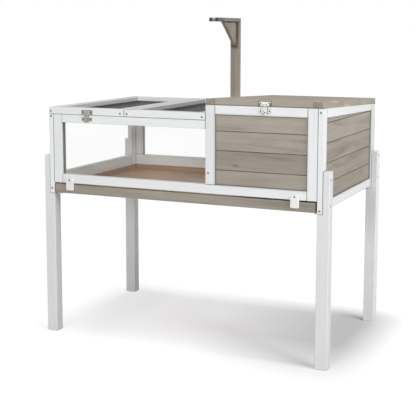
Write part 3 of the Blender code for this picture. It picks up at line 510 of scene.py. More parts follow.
def addEndGrain(place, grain, endAxis, endMask, colour):
    # faces that look along the grain show darker, ringed end grain
    normal = objectNormal(place)
    facing = mathNode("ABSOLUTE", normal[grain])
    if endMask is not None:
        facing = mixValue(endMask, facing, mathNode("ABSOLUTE", normal[endAxis]))
    rings = varied(noise(place, 160.0, 4.0, 0.6, 0.4), 0.20, 0.75)
    share = mathNode("MULTIPLY", spread(facing, *stain["endFacing"], 0.0, 1.0), rings)
    return mixColour(share, colour, stain["endGrain"])


# Tray wood, clear sheet, coated wire, bright plate, rubber and plastic

def trayWood():
    colours = {"light": (0.430, 0.235, 0.105), "dark": (0.230, 0.105, 0.040)}
    material, shader, place = newMaterial("traySealedPly")
    figure = noise(stretched(place, "X", 2.5, 34.0), 1.0, 6.0, 0.62, 1.2)
    fibres = noise(stretched(place, "X", 12.0, 380.0), 1.0)
    fibreShare = spread(fibres, 0.5, 0.8, 0.0, 0.35)
    share = mathNode("ADD", spread(figure, 0.35, 0.68, 0.0, 0.8), fibreShare, clamp=True)
    colour = mixColour(share, colours["light"], colours["dark"])
    fill(shader, {"Base Color": colour, "Roughness": varied(fibres, 0.5, 0.36)})
    bump(shader, figure, 0.20, 0.0008)
    return material


def clearSheet():
    # thin acrylic, a little hazy where it was wiped
    sheet = {"tint": (0.86, 0.93, 0.90), "faceAlpha": 0.04, "roughness": (0.03, 0.07)}
    material, shader, place = newMaterial("clearAcrylic")
    wipe = noise(place, 14.0, 2.0)
    roughness = varied(wipe, *sheet["roughness"])
    fill(shader, {"Base Color": sheet["tint"], "Roughness": roughness, "Alpha": sheet["faceAlpha"]})
    return material


coating = {
    "black": (0.018, 0.018, 0.019), "worn": (0.100, 0.100, 0.100),
    "fromLeft": (0.045, 0.100), "fromBack": (0.015, 0.060),  # where the painted shade begins to give way to grey, and where the grey is full
}


def coatedWire(name, node):
    # grey in the open, and black near the left and back of its frame: painted shade under those rails
    low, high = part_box(node)
    material, shader, place = newMaterial(name)
    split = separated(place)
    dust = noise(place, 60.0)
    awayFromLeft = spread(split["X"], *(low.x + out for out in coating["fromLeft"]), 0.0, 1.0)
    awayFromBack = spread(split["Y"], *(high.y - out for out in coating["fromBack"][::-1]), 1.0, 0.0)
    worn = mathNode("MULTIPLY", mathNode("MULTIPLY", awayFromLeft, awayFromBack), varied(dust, 0.5, 1.0))
    colour = mixColour(worn, coating["black"], coating["worn"])
    fill(shader, {"Base Color": colour, "Roughness": varied(dust, 0.32, 0.50)})
    bump(shader, noise(place, 900.0, 2.0), 0.15, 0.0002)
    return material


def mottled(name, bright, dull, roughness, metal=True):
    # plated steel with fine scratches, or else plastic or rubber
    material, shader, place = newMaterial(name)
    haze = noise(place, 120.0 if metal else 220.0, 4.0, 0.6)
    colour = mixColour(spread(haze, 0.35, 0.7, 0.0, 1.0), bright, dull)
    fill(shader, {"Base Color": colour, "Roughness": varied(haze, *roughness)})
    if metal:
        shader.inputs["Metallic"].default_value = 1.0
        scratches = noise(stretched(place, "X", 150.0, 2600.0), 1.0, 2.0)
        bump(shader, scratches, 0.10, 0.0002)
    else:
        bump(shader, haze, 0.12, 0.0002)
    return material


traySealed = trayWood()
clearAcrylic = clearSheet()
wireFinish = {
    "lid_left_mesh": coatedWire("lidLeftCoatedWire", "lid_left_mesh"),
    "lid_right_mesh": coatedWire("lidRightCoatedWire", "lid_right_mesh"),
}
# bright and dull colour, least and most roughness
brightPlate = mottled("brightZincPlate", (0.52, 0.52, 0.50), (0.36, 0.36, 0.34), (0.26, 0.42))
# a darker copy of the plate for the lid hasp: painted shade
shadedPlate = mottled("dullZincPlate", (0.45, 0.45, 0.42), (0.29, 0.29, 0.27), (0.30, 0.46))
# dark steel: on the plates' rims and bevels it is painted shade and reflection; also the hasp screws
plateEdge = mottled("tarnishedPlateEdge", (0.085, 0.085, 0.075), (0.035, 0.035, 0.030), (0.40, 0.60))
darkScrew = mottled("darkScrewSteel", (0.16, 0.16, 0.16), (0.08, 0.08, 0.08), (0.30, 0.45))
stapleSteel = mottled("stapleSteel", (0.50, 0.50, 0.48), (0.30, 0.30, 0.29), (0.30, 0.45))
# dark grey rubber, which also paints the shade in the window reveals
channelRubber = mottled("greyChannelRubber", (0.200, 0.209, 0.218), (0.130, 0.136, 0.142), (0.45, 0.60),
                        metal=False)
blackCap = mottled("blackForkCap", (0.022, 0.022, 0.022), (0.012, 0.012, 0.012), (0.35, 0.50), metal=False)

# Planks as the frame has them: heights of the first seams over the panel, then a full pitch apart

planks = {
    "pitch": 0.070, "firstFront": 0.0540, "firstEnd": 0.0590, "roofBoards": 6, "roofEndBoard": 0.038,
    "frontTones": (0.87, 0.78, 0.90, 0.95, 0.92),
    "endTones": (0.87, 0.89, 0.90, 0.98, 0.95),
    "roofTones": (0.95, 0.96, 1.00, 0.95, 1.01, 0.98),
    "trayTone": 0.81, "armTone": 0.76, "postTone": 0.85,
}

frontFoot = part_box("front_planks")[0].z
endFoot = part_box("right_end_planks")[0].z
roofLow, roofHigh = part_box("roof_deck")
roofPitch = (roofHigh.y - roofLow.y) / planks["roofBoards"]
frontPlanks = stainedWood(
    "taupeFrontPlanks", "X", ("Z", frontFoot + planks["firstFront"], planks["pitch"]), planks["frontTones"],
    members=("front_planks", "back_planks"))
endPlanks = stainedWood(
    "taupeEndPlanks", "Y", ("Z", endFoot + planks["firstEnd"], planks["pitch"]), planks["endTones"],
    members=("right_end_planks",))
roofPlanks = stainedWood(
    "taupeRoofPlanks", "X", ("Y", roofLow.y + roofPitch, roofPitch), planks["roofTones"],
    (roofLow.x + planks["roofEndBoard"], roofHigh.x - planks["roofEndBoard"], "X"), "Y", ("roof_deck",))
trayBoard = stainedWood("taupeTrayFront", "X", tones=(planks["trayTone"],), members=("tray_front",))
partitionBoard = stainedWood("taupePartition", "Y", members=("partition",))
lampArm = stainedWood("taupeLampY", "Y", tones=(planks["armTone"],), members=("lamp_arm",))
lampPost = stainedWood("taupeLampZ", "Z", tones=(planks["postTone"],), members=("lamp_post", "lamp_gusset"))

finishes = {
    "front_planks": frontPlanks, "back_planks": frontPlanks, "right_end_planks": endPlanks,
    "roof_deck": roofPlanks, "tray_front": trayBoard, "partition": partitionBoard,
    "lamp_post": lampPost, "lamp_gusset": lampPost, "lamp_arm": lampArm,
    "tray_box": traySealed, **wireFinish,
}
for index, (name, node) in enumerate(nodes.items()):
    if name in finishes:
        finish = finishes[name]
    elif name.endswith("_pane"):
        finish = clearAcrylic
    elif "_hinge_" in name or "_hasp_" in name:
        finish = brightPlate  # under its eased copy
    else:
        finish = whitePaint(name, index)
    for place in node.material_slots:
        place.material = finish
print("finishes set on the frame's nodes")


# Modelling helpers

def deselect():
    bpy.ops.object.select_all(action="DESELECT")


def only(piece):
    deselect()
    piece.select_set(True)
    bpy.context.view_layer.objects.active = piece


def placed(name, data):
    piece = bpy.data.objects.new(name, data)
    bpy.context.scene.collection.objects.link(piece)
    return piece


def named(name):
    # the primitive just added
    piece = bpy.context.object
    piece.name = name
    return piece


def editing(piece, kind="FACE"):
    only(piece)
    bpy.ops.object.mode_set(mode="EDIT")
    bpy.ops.mesh.select_mode(type=kind)
    bpy.ops.mesh.select_all(action="DESELECT")


def done():
    bpy.ops.object.mode_set(mode="OBJECT")


def pickAll():
    bpy.ops.mesh.select_all(action="SELECT")


def pickFaces(piece, test):
    # selects the faces whose middle, normal and area pass the test
    mesh = bmesh.from_edit_mesh(piece.data)
    for face in mesh.faces:
        face.select_set(bool(test(face.calc_center_median(), face.normal, face.calc_area())))
    bmesh.update_edit_mesh(piece.data)


def pickEdges(piece, test):
    # selects the edges whose two ends pass the test
    mesh = bmesh.from_edit_mesh(piece.data)
    for edge in mesh.edges:
        edge.select_set(bool(test(edge.verts[0].co) and test(edge.verts[1].co)))
    bmesh.update_edit_mesh(piece.data)


def extrude(x, y, z):
    bpy.ops.mesh.extrude_region_move(TRANSFORM_OT_translate={"value": (x, y, z)})


def cutAcross(place, normal, **options):
    pickAll()
    bpy.ops.mesh.bisect(plane_co=place, plane_no=normal, use_fill=False, **options)
    pickAll()


def closeOutwards():
    # turns all faces outwards and leaves edit mode
    pickAll()
    bpy.ops.mesh.normals_make_consistent(inside=False)
    done()


def intoMesh(piece):
    # place, turn and scale go into the mesh
    only(piece)
    bpy.ops.object.transform_apply(location=True, rotation=True, scale=True)


def prism(name, sides, radius, height):
    # left in edit mode with its top selected
    bpy.ops.mesh.primitive_circle_add(vertices=sides, radius=radius, fill_type="NGON")
    piece = named(name)
    bpy.ops.object.mode_set(mode="EDIT")
    pickAll()
    extrude(0, 0, height)
    return piece


def rectangle(name, width, height, place=(0, 0, 0)):
    bpy.ops.mesh.primitive_plane_add(size=1, location=place)
    piece = named(name)
    piece.scale = (width, height, 1)
    intoMesh(piece)
    return piece


def smooth(piece, degrees):
    only(piece)
    bpy.ops.object.shade_smooth_by_angle(angle=math.radians(degrees))


def applyAll(piece):
    only(piece)
    for modifier in list(piece.modifiers):
        bpy.ops.object.modifier_apply(modifier=modifier.name)


def cutAway(piece, cutter):
    cut = piece.modifiers.new("cut", "BOOLEAN")
    cut.operation = "DIFFERENCE"
    cut.object = cutter
    applyAll(piece)
    bpy.data.objects.remove(cutter)


def easedEdges(piece, width, material=0, segments=2):
    ease = piece.modifiers.new("ease", "BEVEL")
    ease.width = width
    ease.segments = segments
    ease.limit_method = "ANGLE"
    ease.angle_limit = math.radians(35)
    ease.material = material
    applyAll(piece)
    smooth(piece, 40)


def meshCopy(node, name):
    # a CAD node's mesh as a new piece, its loose triangles merged into whole faces
    piece = placed(name, nodes[node].data.copy())
    editing(piece)
    pickAll()
    bpy.ops.mesh.remove_doubles(threshold=0.000002)
    bpy.ops.mesh.dissolve_limited(angle_limit=math.radians(1))
    done()
    return piece


def settle(piece, finish):
    intoMesh(piece)
    piece.data.materials.clear()
    piece.data.materials.append(finish)


def copyOf(model, name):
    only(model)
    bpy.ops.object.duplicate()
    copy = named(name)
    copy.data.name = name
    return copy


def joined(pieces, name):
    deselect()
    for piece in pieces:
        piece.select_set(True)
    bpy.context.view_layer.objects.active = pieces[0]
    if len(pieces) > 1:
        bpy.ops.object.join()
    pieces[0].name = name
    pieces[0].data.name = name
    return pieces[0]


def rideFor(piece, body, node=None):
    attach(piece, body)
    if node:
        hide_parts(node)


# Welded wire mesh in the two lids

wireMesh = {"pitch": 0.0127, "radius": 0.00057, "sides": 6, "endCut": 0.0004, "pressed": 0.95}


def wire(name, start, length, turn):
    # one wire along Z, then turned to lie along X or Y
    piece = prism(name, wireMesh["sides"], wireMesh["radius"], length)
    bpy.ops.mesh.inset(thickness=wireMesh["endCut"] / 2, depth=wireMesh["endCut"] / 2)
    done()
    piece.rotation_euler = turn
    piece.location = start
    intoMesh(piece)
    return piece


def repeated(piece, count, step):
    row = piece.modifiers.new("row", "ARRAY")
    row.use_relative_offset = False
    row.use_constant_offset = True
    row.constant_offset_displace = step
    row.count = count
    row.use_merge_vertices = False
    applyAll(piece)


def wirePanel(node, name, body):
    low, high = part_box(node)
    radius, pitch = wireMesh["radius"], wireMesh["pitch"]
    middle = (low.z + high.z) / 2
    sink = radius * wireMesh["pressed"]  # of each layer, from the middle
    countX, countY = [int((high[k] - low[k] - 2 * radius) / pitch) + 1 for k in (0, 1)]
    firstX = (low.x + high.x - (countX - 1) * pitch) / 2
    firstY = (low.y + high.y - (countY - 1) * pitch) / 2
    upper = wire(name + "Upper", (firstX, high.y, middle + sink), high.y - low.y, (math.pi / 2, 0, 0))
    repeated(upper, countX, (pitch, 0, 0))
    lower = wire(name + "Lower", (low.x, firstY, middle - sink), high.x - low.x, (0, math.pi / 2, 0))
    repeated(lower, countY, (0, pitch, 0))
    panel = joined([upper, lower], name)
    editing(panel)
    closeOutwards()
    smooth(panel, 75)
    settle(panel, wireFinish[node])
    rideFor(panel, body, node)


wirePanel("lid_left_mesh", "lidLeftWireMesh", "lid")
wirePanel("lid_right_mesh", "lidRightWireMesh", "root")
print("wire mesh made")


# Screws: a low dome with a cross recess, dark steel

screw = {
    "radius": 0.0036, "rim": 0.0006, "dome": 0.0006, "sides": 24,
    "steps": ((0.18, 0.50), (0.22, 0.32), (0.25, 0.18)),  # of the dome: shares inwards and upwards
    "slotWidth": 0.0010, "slotLength": 0.0042, "slotDepth": 0.0007,
    "turn": 37, "firstTurn": 20,  # degrees, of one recess after another
}


def screwModel(name, radius, heightShare=1.0):
    share = radius / screw["radius"]
    head = prism(name, screw["sides"], radius, screw["rim"] * share)
    for inward, upward in screw["steps"]:
        bpy.ops.mesh.inset(thickness=radius * inward, depth=screw["dome"] * share * upward)
    closeOutwards()
    top = (screw["rim"] + screw["dome"]) * share
    slot = (screw["slotLength"], screw["slotWidth"], screw["slotDepth"] * 2)
    for turn in (0.0, math.pi / 2):
        bpy.ops.mesh.primitive_cube_add(size=1, location=(0, 0, top), rotation=(0, 0, turn))
        cutter = named(name + "Slot")
        cutter.scale = [share * size for size in slot]
        cutAway(head, cutter)
    head.scale = (1.0, 1.0, heightShare)
    intoMesh(head)
    smooth(head, 35)
    return head


facings = {
    "front": (math.pi / 2, 0, 0), "back": (-math.pi / 2, 0, 0),
    "right": (0, math.pi / 2, 0), "left": (0, -math.pi / 2, 0),
    "up": (0, 0, 0), "down": (math.pi, 0, 0),
}


def screwSet(name, body, model, facing, places, finish=darkScrew):
    heads = []
    for index, place in enumerate(places):
        head = copyOf(model, name + str(index))
        lay = Matrix.Translation(place)
        for angle, axis in zip(facings[facing], "XYZ"):
            lay = lay @ Matrix.Rotation(angle, 4, axis)
        turn = math.radians(screw["turn"] * index + screw["firstTurn"])
        head.matrix_world = lay @ Matrix.Rotation(turn, 4, "Z")
        intoMesh(head)
        heads.append(head)
    piece = joined(heads, name)
    settle(piece, finish)
    rideFor(piece, body)


bigScrew = screwModel("bigScrewModel", screw["radius"])
smallScrew = screwModel("smallScrewModel", 0.0021)
flushScrew = screwModel("flushScrewModel", 0.0034, 0.15)
lowScrew = screwModel("lowScrewModel", screw["radius"], 0.4)
haspScrew = screwModel("haspScrewModel", 0.0028, 0.7)
print("screw heads modelled")

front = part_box("front_rail_bottom")[0].y
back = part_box("back_rail_bottom")[1].y
seat = 0.00005  # heads stand this far off their face
onFront, onBack = front - seat, back + seat

# How far in the screws sit from the sides of lids and legs

inset = {
    "lidRise": 0.0105, "leftLid": (0.0085, 0.0155), "rightLid": (0.0116, 0.0127), "lidBack": (0.0120, 0.0120),
    "legFromFront": 0.0150, "legFront": (0.0285, 0.1196), "legBack": (0.0150, 0.1050),
    "backMiddle": (0.0412, 0.0150),
}
# stile, side (0 left, 1 right), end (0 foot, 1 top), how far in from both
stileRows = {
    "front": (
        ("left_end_stile_front", 0, 1, 0.0100, 0.0090), ("left_end_stile_front", 0, 0, 0.0090, 0.0200),
        ("right_end_stile_front", 1, 1, 0.0105, 0.0142), ("right_end_stile_front", 1, 0, 0.0105, 0.0116),
        ("front_stile_divider", 0, 0, 0.0112, 0.0412),
    ),
    "back": (
        ("left_end_stile_back", 0, 1, 0.0100, 0.0120), ("left_end_stile_back", 0, 0, 0.0100, 0.0200),
        ("right_end_stile_back", 1, 1, 0.0100, 0.0120), ("right_end_stile_back", 1, 0, 0.0100, 0.0200),
    ),
}

leftLid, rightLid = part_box("lid_left_frame"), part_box("lid_right_frame")
lidScrewZ = leftLid[0].z + inset["lidRise"]


def shared(low, high, shares):
    return [low + share * (high - low) for share in shares]


def lidScrews(name, body, lid, sides, facing, y):
    places = [(x, y, lidScrewZ) for x in (lid[0].x + sides[0], lid[1].x - sides[1])]
    screwSet(name, body, bigScrew, facing, places)


def stileScrews(facing, y, others=()):
    places = []
    for node, side, end, inX, inZ in stileRows[facing]:
        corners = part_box(node)
        places.append((corners[side].x + (1 - 2 * side) * inX, y, corners[end].z + (1 - 2 * end) * inZ))
    screwSet(facing + "Screws", "root", bigScrew, facing, [*places, *others])


lidScrews("lidFrontScrews", "lid", leftLid, inset["leftLid"], "front", onFront)
lidScrews("lidRightFrontScrews", "root", rightLid, inset["rightLid"], "front", onFront)
stileScrews("front", onFront)

for side, sign in (("left", -1), ("right", 1)):
    places = []
    for row in ("front", "back"):
        low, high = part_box(f"leg_{row}_{side}")
        face = (high.x if sign > 0 else low.x) + sign * seat
        y = low.y + inset["legFromFront"]
        places += [(face, y, high.z - drop) for drop in inset["leg" + row.title()]]
    screwSet(f"legScrews{side.title()}", "root", lowScrew, side, places)

for side in ("left", "right"):
    pivot = joints[f"button_{side}_pivot"]["pos_m"]
    places = [(pivot[0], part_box(f"turn_button_{side}")[0].y - seat, pivot[2])]
    screwSet(f"buttonScrew{side.title()}", f"button_{side}", lowScrew, "front", places)
print("screws set")


# Screws at the back, under the roof, in the tray and on the lamp post

low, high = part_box("back_stile_middle")
rise, drop = inset["backMiddle"]
heights = (low.z + rise, leftLid[0].z - drop)
stileScrews("back", onBack, [((low.x + high.x) / 2, onBack, z) for z in heights])
lidScrews("lidBackScrews", "lid", leftLid, inset["lidBack"], "back", onBack)
lidScrews("lidRightBackScrews", "root", rightLid, inset["lidBack"], "back", onBack)

hingeScrew = {"out": 0.0140, "fromEdge": 0.0062, "leafFace": 0.0015}
for hinge in ("lid_hinge_left", "lid_hinge_right", "roof_hinge_left", "roof_hinge_right"):
    for leaf in ("fixed", "moving"):
        node = f"{hinge}_{leaf}_leaf"
        low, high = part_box(node)
        z = low.z + hingeScrew["fromEdge"] if leaf == "fixed" else high.z - hingeScrew["fromEdge"]
        places = [((low.x + high.x) / 2 + out, back + hingeScrew["leafFace"] + seat, z)
                  for out in (-hingeScrew["out"], hingeScrew["out"])]
        screwSet(camel(node) + "Screws", bodyOf[node], smallScrew, "back", places)

batten = {"middles": (0.1740, 0.5030), "depth": 0.0180, "places": (0.12, 0.50, 0.88), "fall": 0.0280}
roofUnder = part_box("front_rail_hide_top")[1].z
battenScrews = []
for x in batten["middles"]:
    for y, share in zip(shared(roofLow.y, roofHigh.y, batten["places"]), batten["places"]):
        battenScrews.append((x, y, roofUnder - share * batten["fall"] - batten["depth"] - 4 * seat))
screwSet("battenScrews", "roof", bigScrew, "down", battenScrews)

# along the tray's front wall and its runners, in shares of their length
trayShares, runnerShares = (0.06, 0.35, 0.65, 0.94), (0.08, 0.50, 0.92)
trayScrew = {"wall": 0.0100, "rise": 0.0160}
low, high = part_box("tray_box")
y, z = low.y + trayScrew["wall"] + seat, low.z + trayScrew["rise"]
places = [(x, y, z) for x in shared(low.x, high.x, trayShares)]
screwSet("trayScrews", "tray", smallScrew, "back", places)
for side in ("left", "right"):
    low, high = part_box(f"tray_runner_{side}")
    places = [((low.x + high.x) / 2, y, low.z - seat) for y in shared(low.y, high.y, runnerShares)]
    screwSet(f"runnerScrews{side.title()}", "root", bigScrew, "down", places)

# lamp screws: out from the post's middle, then up from its foot, or in from the post's and the box's back
lampScrews = {
    "post": ((-0.009, 0.025), (0.009, 0.041), (0.0, 0.270)),
    "armPair": (0.010, 0.0085),
    "armRow": (0.030, 0.095),
}
postLow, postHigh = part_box("lamp_post")
armLow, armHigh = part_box("lamp_arm")
postMiddle = (postLow.x + postHigh.x) / 2
places = [(postMiddle + out, postHigh.y, postLow.z + rise) for out, rise in lampScrews["post"]]
screwSet("postScrews", "root", flushScrew, "back", places)
out, inward = lampScrews["armPair"]
places = [(postMiddle + way * out, postLow.y + inward, armHigh.z) for way in (-1, 1)]
places += [(postMiddle, back - inward, armHigh.z) for inward in lampScrews["armRow"]]
screwSet("armScrews", "root", flushScrew, "up", places)
print("hidden screws set")


# Hinges and hasps: the CAD leaves, straps and knobs with eased edges, with a painted dark rim of shade and
# reflection along their borders

metal = {"ease": 0.00040, "knobEase": 0.00055, "rim": 0.0009, "rimmedOver": 0.00004}


def darkRims(piece):
    # a dark band just inside the border of the broad upright faces: painted shade and dark reflection
    editing(piece)
    pickFaces(piece, lambda middle, normal, area: abs(normal.y) > 0.95 and area > metal["rimmedOver"])
    piece.active_material_index = 1
    bpy.ops.object.material_slot_assign()
    bpy.ops.mesh.inset(thickness=metal["rim"], depth=0)
    piece.active_material_index = 0
    bpy.ops.object.material_slot_assign()
    done()


for node in nodes:
    if "_hinge_" in node or "_hasp_" in node:
        piece = meshCopy(node, camel(node))
        # the lid hasp gets the plate painted darker as shade
        settle(piece, shadedPlate if node.startswith("lid_hasp") else brightPlate)
        piece.data.materials.append(plateEdge)
        darkRims(piece)
        easedEdges(piece, metal["knobEase"] if node.endswith("knob") else metal["ease"], 1)
        rideFor(piece, bodyOf[node], node)
print("hinges and hasps eased")


# Plates under the turning knobs: two lobes with a screw each, bored for the knob's foot

haspPlate = {
    "width": 0.046, "height": 0.0150, "corner": 0.0055, "thickness": 0.0011, "bore": 0.0049,
    "screwOut": 0.0160,
    "waist": ((0.22, 0.0034), (0.36, 0.00187)),  # share of the half width, and how far it is drawn in
}
leafScrew = {"out": 0.0158, "fromTop": 0.0063, "leafFace": 0.0015}


def haspPlatePiece(name, x, z, finish):
    plate = rectangle(name, haspPlate["width"], haspPlate["height"])
    editing(plate, "VERT")
    pickAll()
    bpy.ops.mesh.bevel(offset=haspPlate["corner"], segments=6, affect="VERTICES")
    for side in (-1, 1):
        # a waist beside the knob, so that the two ends stand out as lobes
        for share, drawn in haspPlate["waist"]:
            cutAcross((side * share * haspPlate["width"] / 2, 0, 0), (1, 0, 0))
    done()
    for point in plate.data.vertices:
        out = abs(point.co.x) / haspPlate["width"] * 2
        for share, drawn in haspPlate["waist"]:
            if abs(out - share) < 0.02:
                point.co.y -= math.copysign(drawn, point.co.y)
    editing(plate)
    pickAll()
    extrude(0, 0, haspPlate["thickness"])
    closeOutwards()
    bpy.ops.mesh.primitive_cylinder_add(vertices=32, radius=haspPlate["bore"], depth=0.01)
    cutAway(plate, named(name + "Bore"))
    plate.rotation_euler = facings["front"]
    plate.location = (x, onFront, z)
    settle(plate, finish)
    plate.data.materials.append(plateEdge)
    darkRims(plate)
    easedEdges(plate, metal["ease"], 1)
    rideFor(plate, "root")
    face = onFront - haspPlate["thickness"]
    haspScrews(name + "Screws", "root", x, haspPlate["screwOut"], face, z)


def haspScrews(name, body, x, out, y, z):
    screwSet(name, body, haspScrew, "front", [(x - out, y, z), (x + out, y, z)], plateEdge)


for name, finish in (("lid", shadedPlate), ("roof", brightPlate)):
    x, y, z = joints[f"{name}_knob_turn"]["pos_m"]
    haspPlatePiece(f"{name}HaspPlate", x, z, finish)
    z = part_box(f"{name}_hasp_leaf")[1].z - leafScrew["fromTop"]
    haspScrews(f"{name}HaspLeafScrews", name, x, leafScrew["out"], front - leafScrew["leafFace"] - seat, z)
print("hasps finished")


# Grey channels that hold the upright edges of the panes, lining the frames' reveals; their dark grey also paints
# the shade in the reveals

channel = {"wall": 0.0008, "lip": 0.0040, "inset": 0.0070, "play": 0.0006, "behind": 0.0001, "ease": 0.0002}


def channelPiece(name, corner, height, depth, turn, mirrored):
    # an L in plan: a long leg along +Y, then a lip along +X, lifted to its height
    wall = channel["wall"]
    strip = rectangle(name, wall, depth - wall, (wall / 2, (depth - wall) / 2, 0))
    editing(strip, "EDGE")
    pickEdges(strip, lambda spot: spot.y > depth - 1.5 * wall)
    extrude(0, wall, 0)
    bpy.ops.mesh.select_all(action="DESELECT")
    pickEdges(strip, lambda spot: spot.x > wall / 2 and spot.y > depth - 1.5 * wall)
    extrude(channel["lip"] - wall, 0, 0)
    pickAll()
    extrude(0, 0, height)
    closeOutwards()
    strip.scale = (-1 if mirrored else 1, 1, 1)
    strip.rotation_euler = (0, 0, turn)
    strip.location = corner
    settle(strip, channelRubber)
    editing(strip)
    closeOutwards()
    easedEdges(strip, channel["ease"])
    return strip


def paneChannels(pane, name, outward, edges, face):
    # outward: the way the pane's frame looks; edges: the frame's upright reveals, and whether to mirror
    low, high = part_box(pane)
    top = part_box("front_rail_run_top")[0].z - channel["play"]
    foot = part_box("front_rail_bottom")[1].z + channel["play"]
    turn, inner = {"front": (0.0, low.y), "back": (math.pi, high.y), "left": (-math.pi / 2, low.x)}[outward]
    depth = abs(inner - face) - channel["inset"] - channel["behind"]
    start = face + math.copysign(channel["inset"], inner - face)
    strips = []
    for edge, mirrored in edges:
        corner = (start, edge, foot) if outward == "left" else (edge, start, foot)
        strips.append(channelPiece(name + str(len(strips)), corner, top - foot, depth, turn, mirrored))
    rideFor(joined(strips, name), "root")


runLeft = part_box("front_stile_left")[1].x + 2 * seat
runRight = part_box("front_stile_divider")[0].x - 2 * seat
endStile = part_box("left_end_stile_front")
paneChannels("front_pane", "frontPaneChannels", "front", ((runLeft, False), (runRight, True)), front)
paneChannels("back_pane", "backPaneChannels", "back", ((runRight, False), (runLeft, True)), back)
paneChannels("left_end_pane", "endPaneChannels", "left", ((endStile[1].y + 2 * seat, True),), endStile[0].x)
print("pane channels made")


# Black cap over the forked tip of the lamp arm

cap = {"reach": 0.0100, "wall": 0.0007, "below": 0.0010, "ease": 0.0002}


def forkCap():
    tip = meshCopy("lamp_arm", "lampForkCap")
    editing(tip)
    cutAcross((0, armLow.y + cap["reach"], 0), (0, 1, 0), clear_outer=True)
    cutAcross((0, 0, armHigh.z - cap["below"]), (0, 0, 1), clear_outer=True)

    def inSlot(middle, normal, area):
        return abs(middle.x - postMiddle) < fork["slotHalf"] and abs(normal.x) > 0.9

    # the slot's own walls stay bare
    pickFaces(tip, inSlot)
    bpy.ops.mesh.delete(type="FACE")
    done()
    settle(tip, blackCap)
    wall = tip.modifiers.new("wall", "SOLIDIFY")
    wall.thickness = cap["wall"]
    wall.offset = 1.0
    wall.use_even_offset = True
    applyAll(tip)
    easedEdges(tip, cap["ease"], segments=1)
    rideFor(tip, "root")


forkCap()
print("fork cap made")


# Staples that hold the wire mesh in the rebates under the lids

staple = {
    "crown": 0.0085, "width": 0.0011, "gauge": 0.0006, "leg": 0.0022, "ease": 0.00018,
    "pitch": 0.070, "fromEdge": 0.0050, "meshLap": 0.0090, "below": 0.0002,
}


def stapleModel():
    # crown along X, legs up
    bpy.ops.mesh.primitive_cube_add(size=1)
    piece = named("stapleModel")
    piece.scale = (staple["crown"], staple["width"], staple["gauge"])
    intoMesh(piece)
    shoulder = staple["crown"] / 2 - staple["gauge"]
    editing(piece)
    for side in (-1, 1):
        cutAcross((side * shoulder, 0, 0), (1, 0, 0))
    pickFaces(piece, lambda middle, normal, area: normal.z > 0.9 and abs(middle.x) > shoulder)
    extrude(0, 0, staple["leg"])
    done()
    easedEdges(piece, staple["ease"], segments=1)
    return piece


def stapleRow(name, meshNode, body, model):
    low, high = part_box(meshNode)
    rail = staple["meshLap"] - staple["fromEdge"]
    z = low.z - staple["gauge"] / 2 - staple["below"]
    spots = []
    for along, across, turn in ((0, 1, 90), (1, 0, 0)):
        length = high[along] - low[along]
        count = round(length / staple["pitch"])
        for edge in (low[across] + rail, high[across] - rail):
            for k in range(count):
                step = low[along] + (k + 0.5) * length / count
                spots.append(((step, edge, z) if along == 0 else (edge, step, z), turn))
    copies = []
    for index, (place, turn) in enumerate(spots):
        copy = copyOf(model, name + str(index))
        copy.location = place
        copy.rotation_euler = (0, 0, math.radians(turn + 7 * math.sin(index * 2.3)))
        intoMesh(copy)
        copies.append(copy)
    piece = joined(copies, name)
    settle(piece, stapleSteel)
    rideFor(piece, body)


stapleShape = stapleModel()
stapleRow("lidLeftStaples", "lid_left_mesh", "lid", stapleShape)
stapleRow("lidRightStaples", "lid_right_mesh", "root", stapleShape)
print("mesh staples set")

for model in (bigScrew, smallScrew, flushScrew, lowScrew, haspScrew, stapleShape):
    bpy.data.objects.remove(model)


# Floor, light and camera

studio = {
    "floorSize": 60.0,
    "floorColour": (0.712, 0.735, 0.760),
    "floorSeen": (0.655, 0.670, 0.692),  # to the camera and in reflections
    "floorGlow": (0.445, 0.0),  # camera-only glow over the floor's light, painting how deep the shadow is: under the run
    "glowSpan": (-0.30, 0.47),  # and under the hide
    "frontGlow": 0.18,  # more of it towards the front
    "frontSpan": ((-0.35, 0.0), (-0.05, -0.28)),  # in X and in Y
    "shadowHalf": (0.53, 0.31, 1.0),  # the floor runs out to white outside this box
    "glowFade": (0.0, 0.18),
    "worldColour": (0.99, 0.99, 0.99),
    "worldLight": 0.22,
}
lamps = {
    "overhead": {"place": (-0.60, -0.30, 5.0), "size": (2.0, 2.0), "power": 78.0},
    "frontFill": {"place": (-0.10, -4.4, 1.60), "size": (1.8, 1.0), "power": 73.0},
    "rightFill": {"place": (4.0, -1.3, 2.90), "size": (2.4, 1.2), "power": 146.0},
    "rearFill": {"place": (-0.6, 4.6, 1.30), "size": (2.6, 1.0), "power": 55.0},
}
lampAim = Vector((0.0, 0.0, 0.6))


def seenNotLit(near):
    # 1 to the camera, in reflections and through the panes
    rays = addNode(near, "ShaderNodeLightPath").outputs
    seen = mathNode("ADD", rays["Is Camera Ray"], rays["Is Glossy Ray"], clamp=True)
    return mathNode("ADD", seen, rays["Is Transmission Ray"], clamp=True)


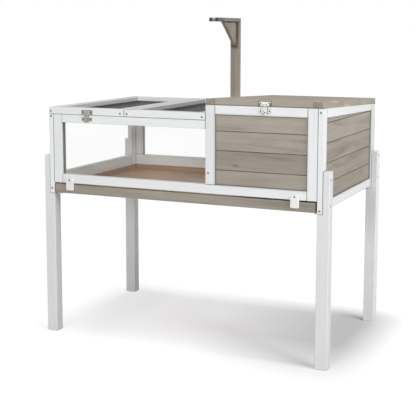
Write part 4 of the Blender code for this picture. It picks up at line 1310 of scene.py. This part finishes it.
def makeFloor():
    bpy.ops.mesh.primitive_plane_add(size=studio["floorSize"], location=(0, 0, 0))
    floor = named("studioFloor")
    bpy.ops.object.mode_set(mode="EDIT")
    bpy.ops.mesh.subdivide(number_cuts=3)
    done()
    material, shader, place = newMaterial("paleFloor")
    seen = seenNotLit(place)
    split = separated(place)
    # painted shadow: a camera-only glow shapes the shadow under the table, lighter under the run and towards the
    # front, darker under the hide, and white outside the box
    reach = outsideBox(place, (0.0, 0.0, 0.0), studio["shadowHalf"])
    near = spread(reach, *studio["glowFade"], 1.0, 0.0)
    shade = mixColour(near, (0.0, 0.0, 0.0), studio["floorSeen"])
    glow = spread(split["X"], *studio["glowSpan"], *studio["floorGlow"])
    spanX, spanY = studio["frontSpan"]
    ahead = spread(split["Y"], *spanY, 0.0, studio["frontGlow"])
    ahead = mathNode("MULTIPLY", ahead, spread(split["X"], *spanX, 0.0, 1.0))
    glow = mathNode("MULTIPLY", mathNode("ADD", glow, ahead), near)
    glow = mathNode("ADD", glow, mathNode("SUBTRACT", 1.0, near))
    fill(shader, {
        "Base Color": mixColour(seen, studio["floorColour"], shade),
        "Roughness": 0.9, "Specular IOR Level": 0.1,
        "Emission Color": (1.0, 1.0, 1.0), "Emission Strength": mathNode("MULTIPLY", seen, glow),
    })
    floor.data.materials.append(material)


def makeWorld():
    world = bpy.data.worlds.new("paleStudio")
    bpy.context.scene.world = world
    world.use_nodes = True
    tree = world.node_tree
    tree.nodes.clear()
    mix = addNode(tree, "ShaderNodeMixShader")
    feed(mix.inputs, [seenNotLit(mix)])
    lights = (studio["worldColour"], studio["worldLight"]), ((1.0, 1.0, 1.0), 1.0)
    for socket, values in zip(mix.inputs[1:], lights):
        background = addNode(mix, "ShaderNodeBackground")
        feed(background.inputs, values)
        feed([socket], background.outputs)
    feed(addNode(mix, "ShaderNodeOutputWorld").inputs, mix.outputs)


def makeLamp(name, values):
    lamp = bpy.data.lights.new(name, "AREA")
    lamp.shape = "RECTANGLE"
    lamp.size, lamp.size_y = values["size"]
    lamp.energy = values["power"]
    lampObject = placed(name, lamp)
    lampObject.location = values["place"]
    lampObject.rotation_euler = (lampAim - lampObject.location).to_track_quat("-Z", "Y").to_euler()


def makeCamera():
    view = {
        "place": (1.5401, -3.4990, 1.1767),
        "turn": (1.44340, -0.00149, 0.42299),  # radians
        "lens": 84.35, "sensor": 36.0, "shiftY": -0.126,
    }
    data = bpy.data.cameras.new("photoCamera")
    data.lens = view["lens"]
    data.sensor_width = view["sensor"]
    data.shift_y = view["shiftY"]
    camera = placed("photoCamera", data)
    camera.location = view["place"]
    camera.rotation_euler = view["turn"]
    bpy.context.scene.camera = camera


makeFloor()
makeWorld()
for name, values in lamps.items():
    makeLamp(name, values)
makeCamera()
bpy.context.scene.view_settings.view_transform = "Standard"
print("studio set")
